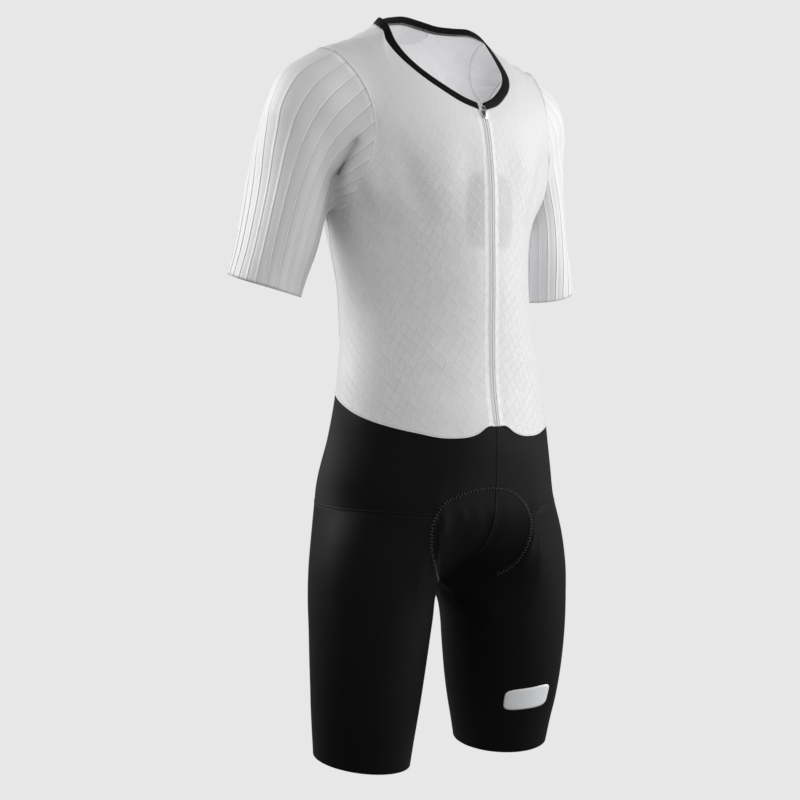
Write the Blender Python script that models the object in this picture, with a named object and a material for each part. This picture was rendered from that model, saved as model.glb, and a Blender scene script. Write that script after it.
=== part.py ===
"""Short-sleeved cycling skinsuit, hollow, held in its worn form by whoever wears it.

Metres, +Z up. The front faces -Y and the wearer's right side is at -X. The origin is the middle
of the neck base, level with the tops of the shoulders. Cloth panels are grids of points that
run between their seams and are pulled tight over a general figure; each grid gets a wall.
"""

import math

import bpy
import numpy as np
from mathutils.bvhtree import BVHTree

# Cloth and trims
CLOTH = 0.0012          # wall of every cloth panel
SEAM_GAP = 0.0006       # between the edges of two sewn pieces
LAYER_GAP = 0.0004      # between two pieces that lie on each other
SLACK = 0.004           # how far tight cloth may bridge a hollow of the figure
ZIP_HALF = 0.0038       # centre front to the folded edge of a front panel
TAPE = 0.0007           # thickness of the zip's tape
TAPE_REACH = 0.0092     # how far the tape reaches under a front panel
COLLAR_RISE = 0.0110    # height of the neck binding
COLLAR_WALL = 0.0020
COLLAR_PROUD = 0.0004   # binding over the panels' outer face
COLLAR_INSET = 0.0004   # binding back from its seams
PAD_WALL = 0.0060
PAD_INSIDE = 0.0047     # pad below the outer face of the cloth
FACING_WALL = 0.0008
FACING_HALF = 0.038     # half width of the half-moon facing at the back neck
FACING_DROP = 0.025
FACING_COLUMNS = 8
TAB_WALL = 0.0006

# Slider and pull of the zip, in their own frame: across, up the zip, out from the cloth
SLIDER_HEIGHT = -0.1200     # where the slider's middle is on the centre front
SLIDER_HALF_LENGTH = 0.0048
SLIDER_TOP_HALF = 0.0040
SLIDER_FOOT_HALF = 0.0030
SLIDER_CLEAR = 0.0004       # slider over the cloth
SLIDER_WALL = 0.0016
BAIL_HALF_WIDTH = 0.0009
BAIL_HALF_LENGTH = 0.0034
BAIL_WALL = 0.0009
PIN_RADIUS = 0.0006
PIN_CLEAR = 0.0003
PULL_HALF_WIDTH = 0.0023
PULL_SLOT_HALF = 0.0013
PULL_SLOT_END = 0.0050
PULL_HOLE_START = 0.0068
PULL_HOLE_END = 0.0098
PULL_HOLE_HALF = 0.0011
PULL_LENGTH = 0.0118

# The figure under the cloth: its left half, mirrored in the plane x = 0
TRUNK = np.array([
    # height, half_width, front, back, centre
    (-0.800, 0.1500, 0.078, 0.076, 0.000),
    (-0.740, 0.1530, 0.092, 0.090, 0.000),
    (-0.680, 0.1580, 0.096, 0.108, 0.000),
    (-0.620, 0.1630, 0.107, 0.118, -0.004),
    (-0.560, 0.1560, 0.115, 0.118, -0.001),
    (-0.500, 0.1440, 0.114, 0.104, -0.004),
    (-0.440, 0.1365, 0.101, 0.096, -0.008),
    (-0.380, 0.1250, 0.107, 0.098, 0.000),
    (-0.320, 0.1185, 0.118, 0.106, 0.010),
    (-0.260, 0.1250, 0.125, 0.115, 0.018),
    (-0.200, 0.1470, 0.116, 0.120, 0.010),
    (-0.140, 0.1640, 0.106, 0.112, 0.008),
    (-0.080, 0.1700, 0.092, 0.096, 0.010),
    (-0.020, 0.1640, 0.076, 0.080, 0.014),
    (0.040, 0.1600, 0.070, 0.074, 0.016),
])
LEG = np.array([
    # height, x, y, half_long, half_short
    (-0.960, 0.1085, 0.012, 0.0530, 0.0530),
    (-0.895, 0.1070, 0.009, 0.0586, 0.0586),
    (-0.820, 0.1055, 0.003, 0.0720, 0.0657),
    (-0.745, 0.1028, -0.002, 0.0790, 0.0714),
    (-0.690, 0.0996, -0.004, 0.0810, 0.0751),
    (-0.620, 0.0930, -0.008, 0.0790, 0.0740),
    (-0.540, 0.0860, -0.010, 0.0700, 0.0700),
])
ARM = np.array([
    # height, x, y, half_width, half_depth
    (-0.380, 0.2270, 0.063, 0.0440, 0.0490),
    (-0.320, 0.2115, 0.060, 0.0450, 0.0515),
    (-0.280, 0.1977, 0.0605, 0.0450, 0.0610),
    (-0.240, 0.1880, 0.0590, 0.0440, 0.0660),
    (-0.200, 0.1805, 0.0565, 0.0435, 0.0685),
    (-0.150, 0.1712, 0.0470, 0.0485, 0.0645),
    (-0.100, 0.1600, 0.0350, 0.0530, 0.0565),
    (-0.060, 0.1500, 0.0250, 0.0460, 0.0460),
])
SHOULDER_SLOPE = np.array([
    # x, height
    (0.000, 0.000),
    (0.080, -0.010),
    (0.120, -0.027),
    (0.150, -0.044),
    (0.190, -0.070),
    (0.240, -0.112),
])
SHOULDER_RIDGE = 0.023      # y of the line along their tops
SHOULDER_FALL = 1.05        # how steeply they fall to the front
SHOULDER_ROUND = 0.020
SHOULDER_ARCH = 0.20        # how gently they fall to the back
SHOULDER_BLEND = 0.030
DELTOID = np.array((0.1537, 0.0320, -0.1010))
DELTOID_RADIUS = 0.0555
THIGH_TURN = math.radians(36.0)     # the thigh's long axis, from the side to the front
CROTCH = -0.681
NECK_RADIUS = 0.057
NECK_LEAN = 0.25

# Seams, each on the left half unless it runs round the body
WAIST = np.array([
    # angle from the centre front, height; a row for each column of the panels
    (0.0, -0.4880),
    (7.0, -0.4880),
    (14.5, -0.4965),
    (23.0, -0.5005),
    (36.0, -0.5002),
    (48.0, -0.4950),
    (60.0, -0.4890),
    (72.0, -0.4815),
    (84.0, -0.4720),
    (97.0, -0.4595),
    (110.0, -0.4490),
    (123.0, -0.4440),
    (135.0, -0.4425),
    (146.0, -0.4415),
    (157.0, -0.4405),
    (168.0, -0.4400),
    (180.0, -0.4400),
])
HIP = np.array([
    # angle from the centre front, height
    (37.0, -0.590),
    (60.0, -0.586),
    (90.0, -0.583),
    (120.0, -0.580),
    (150.0, -0.578),
    (180.0, -0.577),
])
SIDE = np.array([
    # angle from the centre front, height
    (120.0, -0.390),
    (116.0, -0.330),
    (112.0, -0.275),
])
NECKLINE = [
    # x, y, height
    (ZIP_HALF, -0.0900, -0.1125),
    (0.0240, -0.0861, -0.1057),
    (0.0490, -0.0734, -0.0902),
    (0.0690, -0.0561, -0.0722),
    (0.0810, -0.0317, -0.0488),
    (0.0826, 0.0010, -0.0186),
    (0.0710, 0.0190, -0.0155),
    (0.0580, 0.0365, -0.0115),
    (0.0460, 0.0510, -0.0060),
    (0.0325, 0.0635, 0.0020),
    (0.0180, 0.0730, 0.0100),
    (0.0000, 0.0770, 0.0135),
]
ARMHOLE = [
    # x, y, height; from the side seam under the arm to the front, over the top and down the back
    (0.138, 0.052, -0.232),
    (0.137, 0.010, -0.238),
    (0.134, -0.030, -0.212),
    (0.130, -0.052, -0.176),
    (0.129, -0.060, -0.141),
    (0.132, -0.057, -0.110),
    (0.140, -0.039, -0.078),
    (0.147, -0.010, -0.052),
    (0.152, 0.014, -0.042),
    (0.150, 0.036, -0.050),
    (0.143, 0.060, -0.072),
    (0.137, 0.080, -0.108),
    (0.136, 0.089, -0.150),
    (0.138, 0.082, -0.197),
    (0.138, 0.052, -0.232),
]
SHOULDER_SEAM = [
    # x, y, height; between the neckline and the back of the armhole
    (0.100, 0.062, -0.030),
    (0.122, 0.078, -0.068),
]
CHEST_LINE = [
    # x, y, height; centre front between waist and neck
    (ZIP_HALF, -0.108, -0.400),
    (ZIP_HALF, -0.108, -0.300),
    (ZIP_HALF, -0.107, -0.200),
]
GROIN = [
    # x, y, height; from the crotch up the front of the thigh to the hip seam
    (0.000, -0.006, -0.681),
    (0.026, -0.040, -0.680),
    (0.056, -0.075, -0.654),
    (0.073, -0.096, -0.622),
]
BELLY_LINE = [
    # x, y, height; centre front seam below the waist
    (0.000, -0.116, -0.560),
    (0.000, -0.112, -0.610),
    (0.000, -0.098, -0.637),
    (0.000, -0.062, -0.655),
    (0.000, -0.006, -0.681),
]
SEAT_LINE = [
    # x, y, height; centre back seam below the hip seam
    (0.000, 0.118, -0.620),
    (0.000, 0.095, -0.665),
    (0.000, 0.050, -0.690),
    (0.000, -0.006, -0.681),
]
PAD_EDGE = [
    # x, y, height; outline of the seat pad, from the front to the back
    (0.034, -0.118, -0.566),
    (0.063, -0.109, -0.584),
    (0.072, -0.098, -0.618),
    (0.058, -0.078, -0.652),
    (0.036, -0.040, -0.690),
    (0.030, 0.000, -0.712),
    (0.038, 0.040, -0.712),
    (0.062, 0.076, -0.690),
    (0.068, 0.100, -0.655),
    (0.040, 0.114, -0.628),
]
FRONT_COLUMNS = 11      # columns of a front panel at the waist
NECK_COLUMNS = 7        # of those, the ones that end on the neckline
BACK_NECK_COLUMNS = 5   # half of the back neckline
SIDE_ROWS = 8
ARMHOLE_STEPS = 20
ARMHOLE_ROUNDS = 3
ARMHOLE_SLACK = 0.008
ARMHOLE_FRONT = 14      # armhole steps that belong to a front panel
NECK_SHARE = 0.60       # share of the half neckline on a front panel
GROIN_STEPS = 4
YOKE_ROWS = 9
SEAT_STEPS = 6
LEG_ROWS = 9
SLEEVE_ROWS = 12
PAD_COLUMNS = 4
PAD_ROWS = 14
SETTLE_ROUNDS = 60
SETTLE_STEP = 0.8

HEM = {"x": 0.107, "y": 0.009, "height": -0.890, "radius": 0.0586, "lean_y": 0.147, "lean_x": 0.055}
CUFF = {"x": 0.2115, "y": 0.060, "height": -0.322, "half_width": 0.0450, "half_depth": 0.0515,
        "lean_y": 0.19, "lean_x": 0.25, "start": 0.70}
TAB_CELLS = {"ring": (3, 6), "row": (2, 3)}     # cells of the left leg that the bonded tab covers

RINGS = ("leg", "sleeve")

MATERIALS = {
    # colour, roughness, metallic
    "check_knit": ((0.80, 0.80, 0.81), 0.55, 0.0),
    "ribbed_knit": ((0.82, 0.82, 0.83), 0.60, 0.0),
    "black_knit": ((0.014, 0.014, 0.016), 0.42, 0.0),
    "binding": ((0.016, 0.016, 0.018), 0.50, 0.0),
    "zip_tape": ((0.78, 0.78, 0.79), 0.60, 0.0),
    "zip_metal": ((0.62, 0.62, 0.64), 0.28, 1.0),
    "facing": ((0.42, 0.42, 0.43), 0.65, 0.0),
    "pad_foam": ((0.08, 0.08, 0.09), 0.80, 0.0),
    "bonded_film": ((0.70, 0.71, 0.71), 0.40, 0.0),
}


def along(table, at):
    """A table's other columns at values of its first one, on a smooth curve through its rows."""
    knots, values = table[:, 0], table[:, 1:]
    slopes = np.gradient(values, knots, axis=0)
    at = np.clip(at, knots[0], knots[-1])
    cell = np.clip(np.searchsorted(knots, at, side="right") - 1, 0, len(knots) - 2)
    span = (knots[cell + 1] - knots[cell])[..., None]
    t = (at - knots[cell])[..., None] / span
    rise = t * t * (3 - 2 * t)
    bend = span * t * (1 - t) * ((1 - t) * slopes[cell] - t * slopes[cell + 1])
    return (1 - rise) * values[cell] + rise * values[cell + 1] + bend


def joined(a, b, blend):
    """Two shapes as one, rounded over blend where they meet."""
    near = np.maximum(blend - np.abs(a - b), 0) / blend
    return np.minimum(a, b) - near * near * blend / 4


def cut(a, b, blend):
    """What two shapes share, with a rounded edge."""
    return -joined(-a, -b, blend)


def oval(dx, dy, half_x, half_y, power=2.0):
    """Level distance to an oval section, negative inside it."""
    size = ((np.abs(dx) / half_x) ** power + (np.abs(dy) / half_y) ** power) ** (1 / power)
    size = np.maximum(size, 0.05)
    return np.hypot(dx, dy) * (1 - 1 / size) - np.where(size <= 0.05, 0.05, 0)


def trunk(x, y, z):
    width, front, back, centre = np.moveaxis(along(TRUNK, z), -1, 0)
    behind = y > centre
    shape = oval(x, y - centre, width, np.where(behind, back, front), np.where(behind, 2.25, 2.0))
    before = SHOULDER_RIDGE - y
    fall = SHOULDER_FALL * (np.hypot(before, SHOULDER_ROUND) - SHOULDER_ROUND)
    fall = np.where(before > 0, fall, before ** 2 / SHOULDER_ARCH)
    shape = cut(shape, (z - along(SHOULDER_SLOPE, x)[..., 0] + fall) * 0.85, SHOULDER_BLEND)
    under = CROTCH - 0.50 * np.clip(y + 0.004, -0.13, 0) + 0.10 * np.clip(y - 0.03, 0, 0.1)
    under = under - 0.9 * np.maximum(x - 0.045, 0)
    return cut(shape, (under - z) * 0.9, 0.040)


def leg(x, y, z):
    middle_x, middle_y, long, short = np.moveaxis(along(LEG, z), -1, 0)
    dx, dy = x - middle_x, y - middle_y
    outer_front = dx * math.cos(THIGH_TURN) - dy * math.sin(THIGH_TURN)
    inner_front = dx * math.sin(THIGH_TURN) + dy * math.cos(THIGH_TURN)
    return cut(oval(outer_front, inner_front, long, short), (z + 0.60) * 0.8, 0.06)


def arm(x, y, z):
    middle_x, middle_y, wide, deep = np.moveaxis(along(ARM, z), -1, 0)
    shape = oval(x - middle_x, y - middle_y, wide, deep)
    shape = cut(shape, (z - DELTOID[2]) * 0.9, 0.02)
    ball = np.sqrt((x - DELTOID[0]) ** 2 + (y - DELTOID[1]) ** 2 + (z - DELTOID[2]) ** 2)
    return joined(shape, ball - DELTOID_RADIUS, 0.02)


def figure(p):
    """Distance from the figure's surface, near enough; negative inside."""
    x, y, z = np.abs(p[..., 0]), p[..., 1], p[..., 2]
    neck = cut(np.hypot(x, y - 0.016 + NECK_LEAN * z) - NECK_RADIUS, -0.06 - z, 0.02)
    armpit = 0.010 + 0.020 * np.clip((z + 0.18) / 0.06, 0, 1)
    body = joined(trunk(x, y, z), leg(x, y, z), 0.030)
    body = joined(body, arm(x, y, z), armpit)
    return joined(body, neck, 0.045)


def steepest(p, step=5e-4):
    rise = np.empty_like(p)
    for axis in range(3):
        shift = np.zeros(3)
        shift[axis] = step
        rise[..., axis] = (figure(p + shift) - figure(p - shift)) / (2 * step)
    return rise


def outward(p):
    rise = steepest(p)
    return rise / np.maximum(np.linalg.norm(rise, axis=-1, keepdims=True), 1e-9)


def onto_figure(p, slack=0.0, rounds=10):
    """Points moved out to the figure's surface, or in until they are slack above it."""
    p = np.array(p, float)
    for _ in range(rounds):
        away = figure(p)
        away = np.where(away > 0, np.maximum(away - slack, 0), away)
        rise = steepest(p)
        step = rise * (away / np.maximum((rise ** 2).sum(-1), 0.1))[..., None]
        length = np.linalg.norm(step, axis=-1, keepdims=True)
        p -= step * np.minimum(1, 0.015 / np.maximum(length, 1e-9))
    return p


def around_trunk(angle, height):
    """Points of the figure at angles from the centre front, by halving along level rays."""
    angle, height = np.radians(angle), np.asarray(height, float)
    centre = along(TRUNK, height)[..., 3]
    ray = np.stack([np.sin(angle), -np.cos(angle), 0 * angle], -1)
    middle = np.stack([0 * height, centre, height], -1)
    near, far = np.zeros_like(height), np.full_like(height, 0.20)
    for _ in range(30):
        half = (near + far) / 2
        inside = figure(middle + ray * half[..., None]) < 0
        near, far = np.where(inside, half, near), np.where(inside, far, half)
    return middle + ray * near[..., None]


def curve(keys, dense=200):
    """A smooth curve through key points."""
    keys = np.asarray(keys, float)
    length = np.r_[0, np.cumsum(np.linalg.norm(np.diff(keys, axis=0), axis=1) ** 0.5)]
    return along(np.c_[length, keys], np.linspace(0, length[-1], dense))


def evenly(points, steps):
    """A line's points again, at equal steps."""
    length = np.r_[0, np.cumsum(np.linalg.norm(np.diff(points, axis=0), axis=1))]
    at = np.linspace(0, length[-1], steps + 1)
    return np.stack([np.interp(at, length, points[:, axis]) for axis in range(3)], -1)


def seam(keys, steps):
    """A seam on the figure through key points, in equal steps."""
    return onto_figure(evenly(onto_figure(curve(keys)), steps))


def patch(bottom, top, left, right):
    """A grid between four edges: columns run from bottom to top, rows from left to right."""
    s = np.linspace(0, 1, len(bottom))[:, None, None]
    t = np.linspace(0, 1, len(left))[None, :, None]
    corners = (1 - s) * (1 - t) * bottom[0] + s * (1 - t) * bottom[-1]
    corners = corners + (1 - s) * t * top[0] + s * t * top[-1]
    return (1 - t) * bottom[:, None] + t * top[:, None] + (1 - s) * left + s * right - corners


def normals(grid, ring=False):
    """Unit normals of a grid at its points, facing out of the body."""
    run = np.roll(grid, -1, 0) - np.roll(grid, 1, 0) if ring else np.gradient(grid, axis=0)
    out = np.cross(run, np.gradient(grid, axis=1))
    out /= np.linalg.norm(out, axis=-1, keepdims=True)
    return out * np.sign((out * outward(grid)).sum())


def settle(grid, ring=False):
    """Cloth pulled tight: inner points are smoothed so that the cells even out and can't fold,
    then moved out to the figure."""
    grid = grid.copy()
    for _ in range(SETTLE_ROUNDS):
        whole = np.concatenate([grid[-1:], grid, grid[:1]]) if ring else grid
        ahead, behind = whole[2:, 1:-1], whole[:-2, 1:-1]
        above, below = whole[1:-1, 2:], whole[1:-1, :-2]
        across = (whole[2:, 2:] - whole[2:, :-2] - whole[:-2, 2:] + whole[:-2, :-2]) / 2
        run, rise = ahead - behind, above - below
        run_run, rise_rise, run_rise = ((a * b).sum(-1, keepdims=True)
                                        for a, b in ((run, run), (rise, rise), (run, rise)))
        mean = rise_rise * (ahead + behind) + run_run * (above + below) - run_rise * across
        mean /= 2 * (run_run + rise_rise)
        inner = np.s_[:, 1:-1] if ring else np.s_[1:-1, 1:-1]
        grid[inner] = onto_figure(grid[inner] + (mean - grid[inner]) * SETTLE_STEP, SLACK, 3)
    return grid


def mirrored(points):
    return points * np.array((-1.0, 1.0, 1.0))


def seams():
    """The seams that the panels share, each in the steps that both of its panels use."""
    lines = {"waist": around_trunk(WAIST[:, 0], WAIST[:, 1])}
    ring = evenly(curve(ARMHOLE, 400), ARMHOLE_STEPS)[:-1]
    for _ in range(ARMHOLE_ROUNDS):
        ring = (np.roll(ring, 1, 0) + 2 * ring + np.roll(ring, -1, 0)) / 4
        ring = onto_figure(ring, ARMHOLE_SLACK, 3)
    lines["armhole"] = np.vstack([ring, ring[:1]])
    neck = onto_figure(curve(NECKLINE))
    length = np.r_[0, np.cumsum(np.linalg.norm(np.diff(neck, axis=0), axis=1))]
    corner = np.searchsorted(length, NECK_SHARE * length[-1])
    lines["neck_front"] = onto_figure(evenly(neck[:corner + 1], NECK_COLUMNS))
    lines["neck_back"] = onto_figure(evenly(neck[corner:], BACK_NECK_COLUMNS))
    steps = FRONT_COLUMNS - NECK_COLUMNS
    ends = lines["neck_front"][-1], ring[ARMHOLE_FRONT]
    lines["shoulder"] = seam([ends[0], *SHOULDER_SEAM, ends[1]], steps)
    side = around_trunk(SIDE[:, 0], SIDE[:, 1])
    lines["side"] = seam([lines["waist"][FRONT_COLUMNS], *side, ring[0]], SIDE_ROWS)
    hip_steps = len(WAIST) - 1 - GROIN_STEPS
    angles = np.linspace(HIP[0, 0], HIP[-1, 0], hip_steps + 1)
    lines["hip"] = around_trunk(angles, along(HIP, angles)[:, 0])
    lines["groin"] = seam([*GROIN, lines["hip"][0]], GROIN_STEPS)
    lines["belly"] = seam([lines["waist"][0], *BELLY_LINE], YOKE_ROWS)
    lines["loin"] = seam([lines["waist"][-1], lines["hip"][-1]], YOKE_ROWS)
    lines["seat"] = seam([lines["hip"][-1], *SEAT_LINE], SEAT_STEPS)
    return lines


def front_grid(lines):
    """Left front: centre front, waist, side seam and armhole, shoulder seam and neckline."""
    start = around_trunk(2.0, -0.488)
    start[0] = ZIP_HALF
    bottom = np.vstack([onto_figure(start), lines["waist"][1:FRONT_COLUMNS + 1]])
    top = np.vstack([lines["neck_front"], lines["shoulder"][1:]])
    outer = np.vstack([lines["side"], lines["armhole"][1:ARMHOLE_FRONT + 1]])
    centre = seam([bottom[0], *CHEST_LINE, top[0]], len(outer) - 1)
    centre[:, 0] = ZIP_HALF
    return settle(patch(bottom, top, centre, outer))


def back_grid(lines):
    """Back, from the left side to the right."""
    outer = np.vstack([lines["side"], lines["armhole"][::-1][1:ARMHOLE_STEPS - ARMHOLE_FRONT + 1],
                       lines["shoulder"][::-1][1:]])
    half = lines["waist"][FRONT_COLUMNS:]
    bottom = np.vstack([half, mirrored(half)[:-1][::-1]])
    top = np.vstack([lines["neck_back"], mirrored(lines["neck_back"])[:-1][::-1]])
    return settle(patch(bottom, top, outer, mirrored(outer)))


def yoke_grid(lines):
    """Left hip piece, from the centre front seam round to the centre back."""
    bottom = np.vstack([lines["groin"], lines["hip"][1:]])
    return settle(patch(bottom, lines["waist"], lines["belly"][::-1], lines["loin"][::-1]))


def leg_grid(lines):
    """Left leg, rings from the hem up to the groin, hip and seat seams."""
    top = np.vstack([lines["groin"], lines["hip"][1:], lines["seat"][1:-1]])
    turn = np.linspace(0, 2 * math.pi, len(top), endpoint=False)
    x = HEM["x"] - HEM["radius"] * np.cos(turn)
    y = HEM["y"] - HEM["radius"] * np.sin(turn)
    z = HEM["height"] + HEM["lean_y"] * (y - HEM["y"]) + HEM["lean_x"] * (x - HEM["x"])
    hem = onto_figure(np.stack([x, y, z], -1))
    t = np.linspace(0, 1, LEG_ROWS + 1)[None, :, None]
    return settle((1 - t) * hem[:, None] + t * top[:, None], ring=True)


def sleeve_grid(lines):
    """Left sleeve, rings from the cuff up to the armhole."""
    top = lines["armhole"][:-1]
    turn = np.linspace(0, 2 * math.pi, len(top), endpoint=False) - CUFF["start"]
    x = CUFF["x"] - CUFF["half_width"] * np.cos(turn)
    y = CUFF["y"] - CUFF["half_depth"] * np.sin(turn)
    z = CUFF["height"] + CUFF["lean_y"] * (y - CUFF["y"]) + CUFF["lean_x"] * (x - CUFF["x"])
    cuff = onto_figure(np.stack([x, y, z], -1))
    t = np.linspace(0, 1, SLEEVE_ROWS + 1)[None, :, None]
    return settle((1 - t) * cuff[:, None] + t * top[:, None], ring=True)


def pad_grid(lines, grids):
    """Seat pad, from the right edge to the left, front to back under the crotch."""
    middle = np.vstack([lines["belly"][3:], lines["seat"][::-1][1:-1]])
    half_front = np.array([(0.0, -0.116, -0.561), PAD_EDGE[0]])
    half_back = np.array([(0.0, 0.117, -0.620), PAD_EDGE[-1]])
    centre = seam([half_front[0], *middle[1:], half_back[0]], PAD_ROWS)
    edge = seam(PAD_EDGE, PAD_ROWS)
    half = settle(patch(seam(half_front, PAD_COLUMNS), seam(half_back, PAD_COLUMNS), centre, edge))
    return onto_cloth(np.concatenate([mirrored(half)[::-1], half[1:]])[::-1], grids)


def onto_cloth(points, grids):
    """Points moved to the nearest of the shorts' panels."""
    corners, faces = [], []
    for name in ("yoke", "leg"):
        for grid in (grids[name], mirrored(grids[name])):
            start = sum(map(len, corners))
            more = wall(grid, grid, name in RINGS)
            half = len(more[0]) // 2
            corners.append(more[0][:half])
            faces += [[start + k for k in face] for face in more[1] if max(face) < half]
    tree = BVHTree.FromPolygons(np.vstack(corners).tolist(), faces)
    near = [tree.find_nearest(p)[0] for p in points.reshape(-1, 3).tolist()]
    return np.array(near).reshape(points.shape)


def shared_normals(grids):
    """Normals of every panel, averaged with the neighbours' along the seams that they share."""
    sides = []
    for name, grid in grids.items():
        out = normals(grid, name in RINGS)
        sides += [(name, grid, out), (None, mirrored(grid), mirrored(out))]
    total = {}
    for _, grid, out in sides:
        for key, lean in zip(map(tuple, np.round(grid.reshape(-1, 3) / 1e-5)), out.reshape(-1, 3)):
            total[key] = total.get(key, 0) + lean
    shared = {}
    for name, grid, out in sides:
        if name:
            keys = map(tuple, np.round(grid.reshape(-1, 3) / 1e-5))
            sums = np.array([total[key] for key in keys]).reshape(grid.shape)
            shared[name] = sums / np.linalg.norm(sums, axis=-1, keepdims=True)
    return shared


def trimmed(grid, edges, inset=SEAM_GAP / 2):
    """The grid with its sewn edges drawn in by half a seam gap."""
    grid = grid.copy()
    sides = {"left": (0, 1, 0), "right": (-1, -2, 0), "bottom": (0, 1, 1), "top": (-1, -2, 1)}
    for edge in edges:
        last, before, axis = sides[edge]
        line = np.take(grid, last, axis)
        beside = np.take(grid, before, axis)
        run = np.gradient(line, axis=0)
        run /= np.linalg.norm(run, axis=-1, keepdims=True)
        inwards = beside - line
        inwards -= run * (inwards * run).sum(-1, keepdims=True)
        inwards /= np.linalg.norm(inwards, axis=-1, keepdims=True)
        if axis == 0:
            grid[last] = line + inwards * inset
        else:
            grid[:, last] = line + inwards * inset
    return grid


def wall(outer, inner, ring=False):
    """Faces of the closed wall between two matching grids of points."""
    rows, columns = outer.shape[:2]
    points = np.concatenate([outer.reshape(-1, 3), inner.reshape(-1, 3)])
    faces = []

    def at(i, j, under=0):
        return (i % rows) * columns + j + under * rows * columns

    for i in range(rows if ring else rows - 1):
        for j in range(columns - 1):
            cell = (i, j), (i + 1, j), (i + 1, j + 1), (i, j + 1)
            a, b, c, d = (points[at(*corner)] for corner in cell)
            out = np.cross(c - a, d - b)
            turn = 0 if np.dot(a + c - b - d, out) >= 0 else 1
            p, q, r, s = cell[turn:] + cell[:turn]
            faces += [[at(*p), at(*q), at(*r)], [at(*p), at(*r), at(*s)]]
            faces += [[at(*r, 1), at(*q, 1), at(*p, 1)], [at(*s, 1), at(*r, 1), at(*p, 1)]]
        faces.append([at(i, 0, 1), at(i + 1, 0, 1), at(i + 1, 0), at(i, 0)])
        last = columns - 1
        faces.append([at(i, last), at(i + 1, last), at(i + 1, last, 1), at(i, last, 1)])
    if not ring:
        last = rows - 1
        for j in range(columns - 1):
            faces.append([at(0, j), at(0, j + 1), at(0, j + 1, 1), at(0, j, 1)])
            faces.append([at(last, j, 1), at(last, j + 1, 1), at(last, j + 1), at(last, j)])
    return points, faces


def material(name):
    found = bpy.data.materials.get(name)
    if found:
        return found
    colour, roughness, metallic = MATERIALS[name]
    made = bpy.data.materials.new(name)
    made.use_nodes = True
    shader = made.node_tree.nodes["Principled BSDF"]
    shader.inputs["Base Color"].default_value = (*colour, 1.0)
    shader.inputs["Roughness"].default_value = roughness
    shader.inputs["Metallic"].default_value = metallic
    return made


def add(name, points, faces, finish, flip=False):
    """A named object from points and faces, turned to the right side of the body by flip."""
    if flip:
        points = mirrored(points)
        faces = [face[::-1] for face in faces]
    mesh = bpy.data.meshes.new(name)
    mesh.from_pydata([tuple(p) for p in points.tolist()], [], faces)
    mesh.materials.append(material(finish))
    mesh.shade_smooth()
    mesh.set_sharp_from_angle(angle=math.radians(40))
    made = bpy.data.objects.new(name, mesh)
    bpy.context.scene.collection.objects.link(made)
    return made


def cloth(name, grid, out, finish, ring=False, flip=False, thickness=CLOTH, proud=0.0):
    """A panel: its grid with a wall behind it."""
    points, faces = wall(grid + out * proud, grid + out * (proud - thickness), ring)
    return add(name, points, faces, finish, flip)


def bodice(grids, out):
    for side, flip in (("left", False), ("right", True)):
        panel = trimmed(grids["front"], ("right", "bottom", "top"))
        cloth(f"front_{side}", panel, out["front"], "check_knit", flip=flip)
        tube = trimmed(grids["sleeve"], ("top",))
        cloth(f"sleeve_{side}", tube, out["sleeve"], "ribbed_knit", ring=True, flip=flip)
    panel = trimmed(grids["back"], ("left", "right", "bottom", "top"))
    cloth("back", panel, out["back"], "check_knit")


def shorts(grids, out):
    for side, flip in (("left", False), ("right", True)):
        panel = trimmed(grids["yoke"], ("left", "right", "bottom", "top"))
        cloth(f"yoke_{side}", panel, out["yoke"], "black_knit", flip=flip)
        tube = trimmed(grids["leg"], ("top",))
        cloth(f"leg_{side}", tube, out["leg"], "black_knit", ring=True, flip=flip)
    ring, row = TAB_CELLS["ring"], TAB_CELLS["row"]
    cells = np.s_[ring[0]:ring[1] + 1, row[0]:row[1] + 1]
    tab, lean = grids["leg"][cells], out["leg"][cells]
    cloth("leg_tab", tab, lean, "bonded_film", thickness=TAB_WALL, proud=TAB_WALL + LAYER_GAP)


def seat_pad(lines, grids):
    pad = pad_grid(lines, grids)
    cloth("seat_pad", pad, normals(pad), "pad_foam", thickness=PAD_WALL, proud=-PAD_INSIDE)


def collar_grid(lines):
    """Left half of the neck binding, from the centre front to the centre back."""
    line = np.vstack([lines["neck_front"], lines["neck_back"][1:]])
    run = np.gradient(line, axis=0)
    run[-1] = (-1.0, 0.0, 0.0)
    rise = np.cross(outward(line), run)
    rise /= np.linalg.norm(rise, axis=-1, keepdims=True)
    steps = np.array((0.0, 0.5, 1.0))[None, :, None] * COLLAR_RISE
    strip = onto_figure(line[:, None] + rise[:, None] * steps, COLLAR_RISE / 10)
    strip[0, :, 0] = ZIP_HALF
    strip[-1, :, 0] = 0.0
    return strip


def collar(grids, out):
    """Neck binding in three pieces, joined at the ends of the shoulder seams."""
    half, lean = grids["collar"], out["collar"]
    joined_half = [np.vstack([of[NECK_COLUMNS:], mirrored(of[NECK_COLUMNS:])[:-1][::-1]])
                   for of in (half, lean)]
    front = np.s_[:NECK_COLUMNS + 1]
    pieces = {
        "collar_left": (half[front], lean[front], ("right", "bottom")),
        "collar_right": (half[front], lean[front], ("right", "bottom")),
        "collar_back": (*joined_half, ("left", "right", "bottom")),
    }
    for name, (strip, up, edges) in pieces.items():
        strip = trimmed(strip, edges, COLLAR_INSET)
        cloth(name, strip, up, "binding", flip=name == "collar_right",
              thickness=COLLAR_WALL, proud=COLLAR_PROUD)


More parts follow.
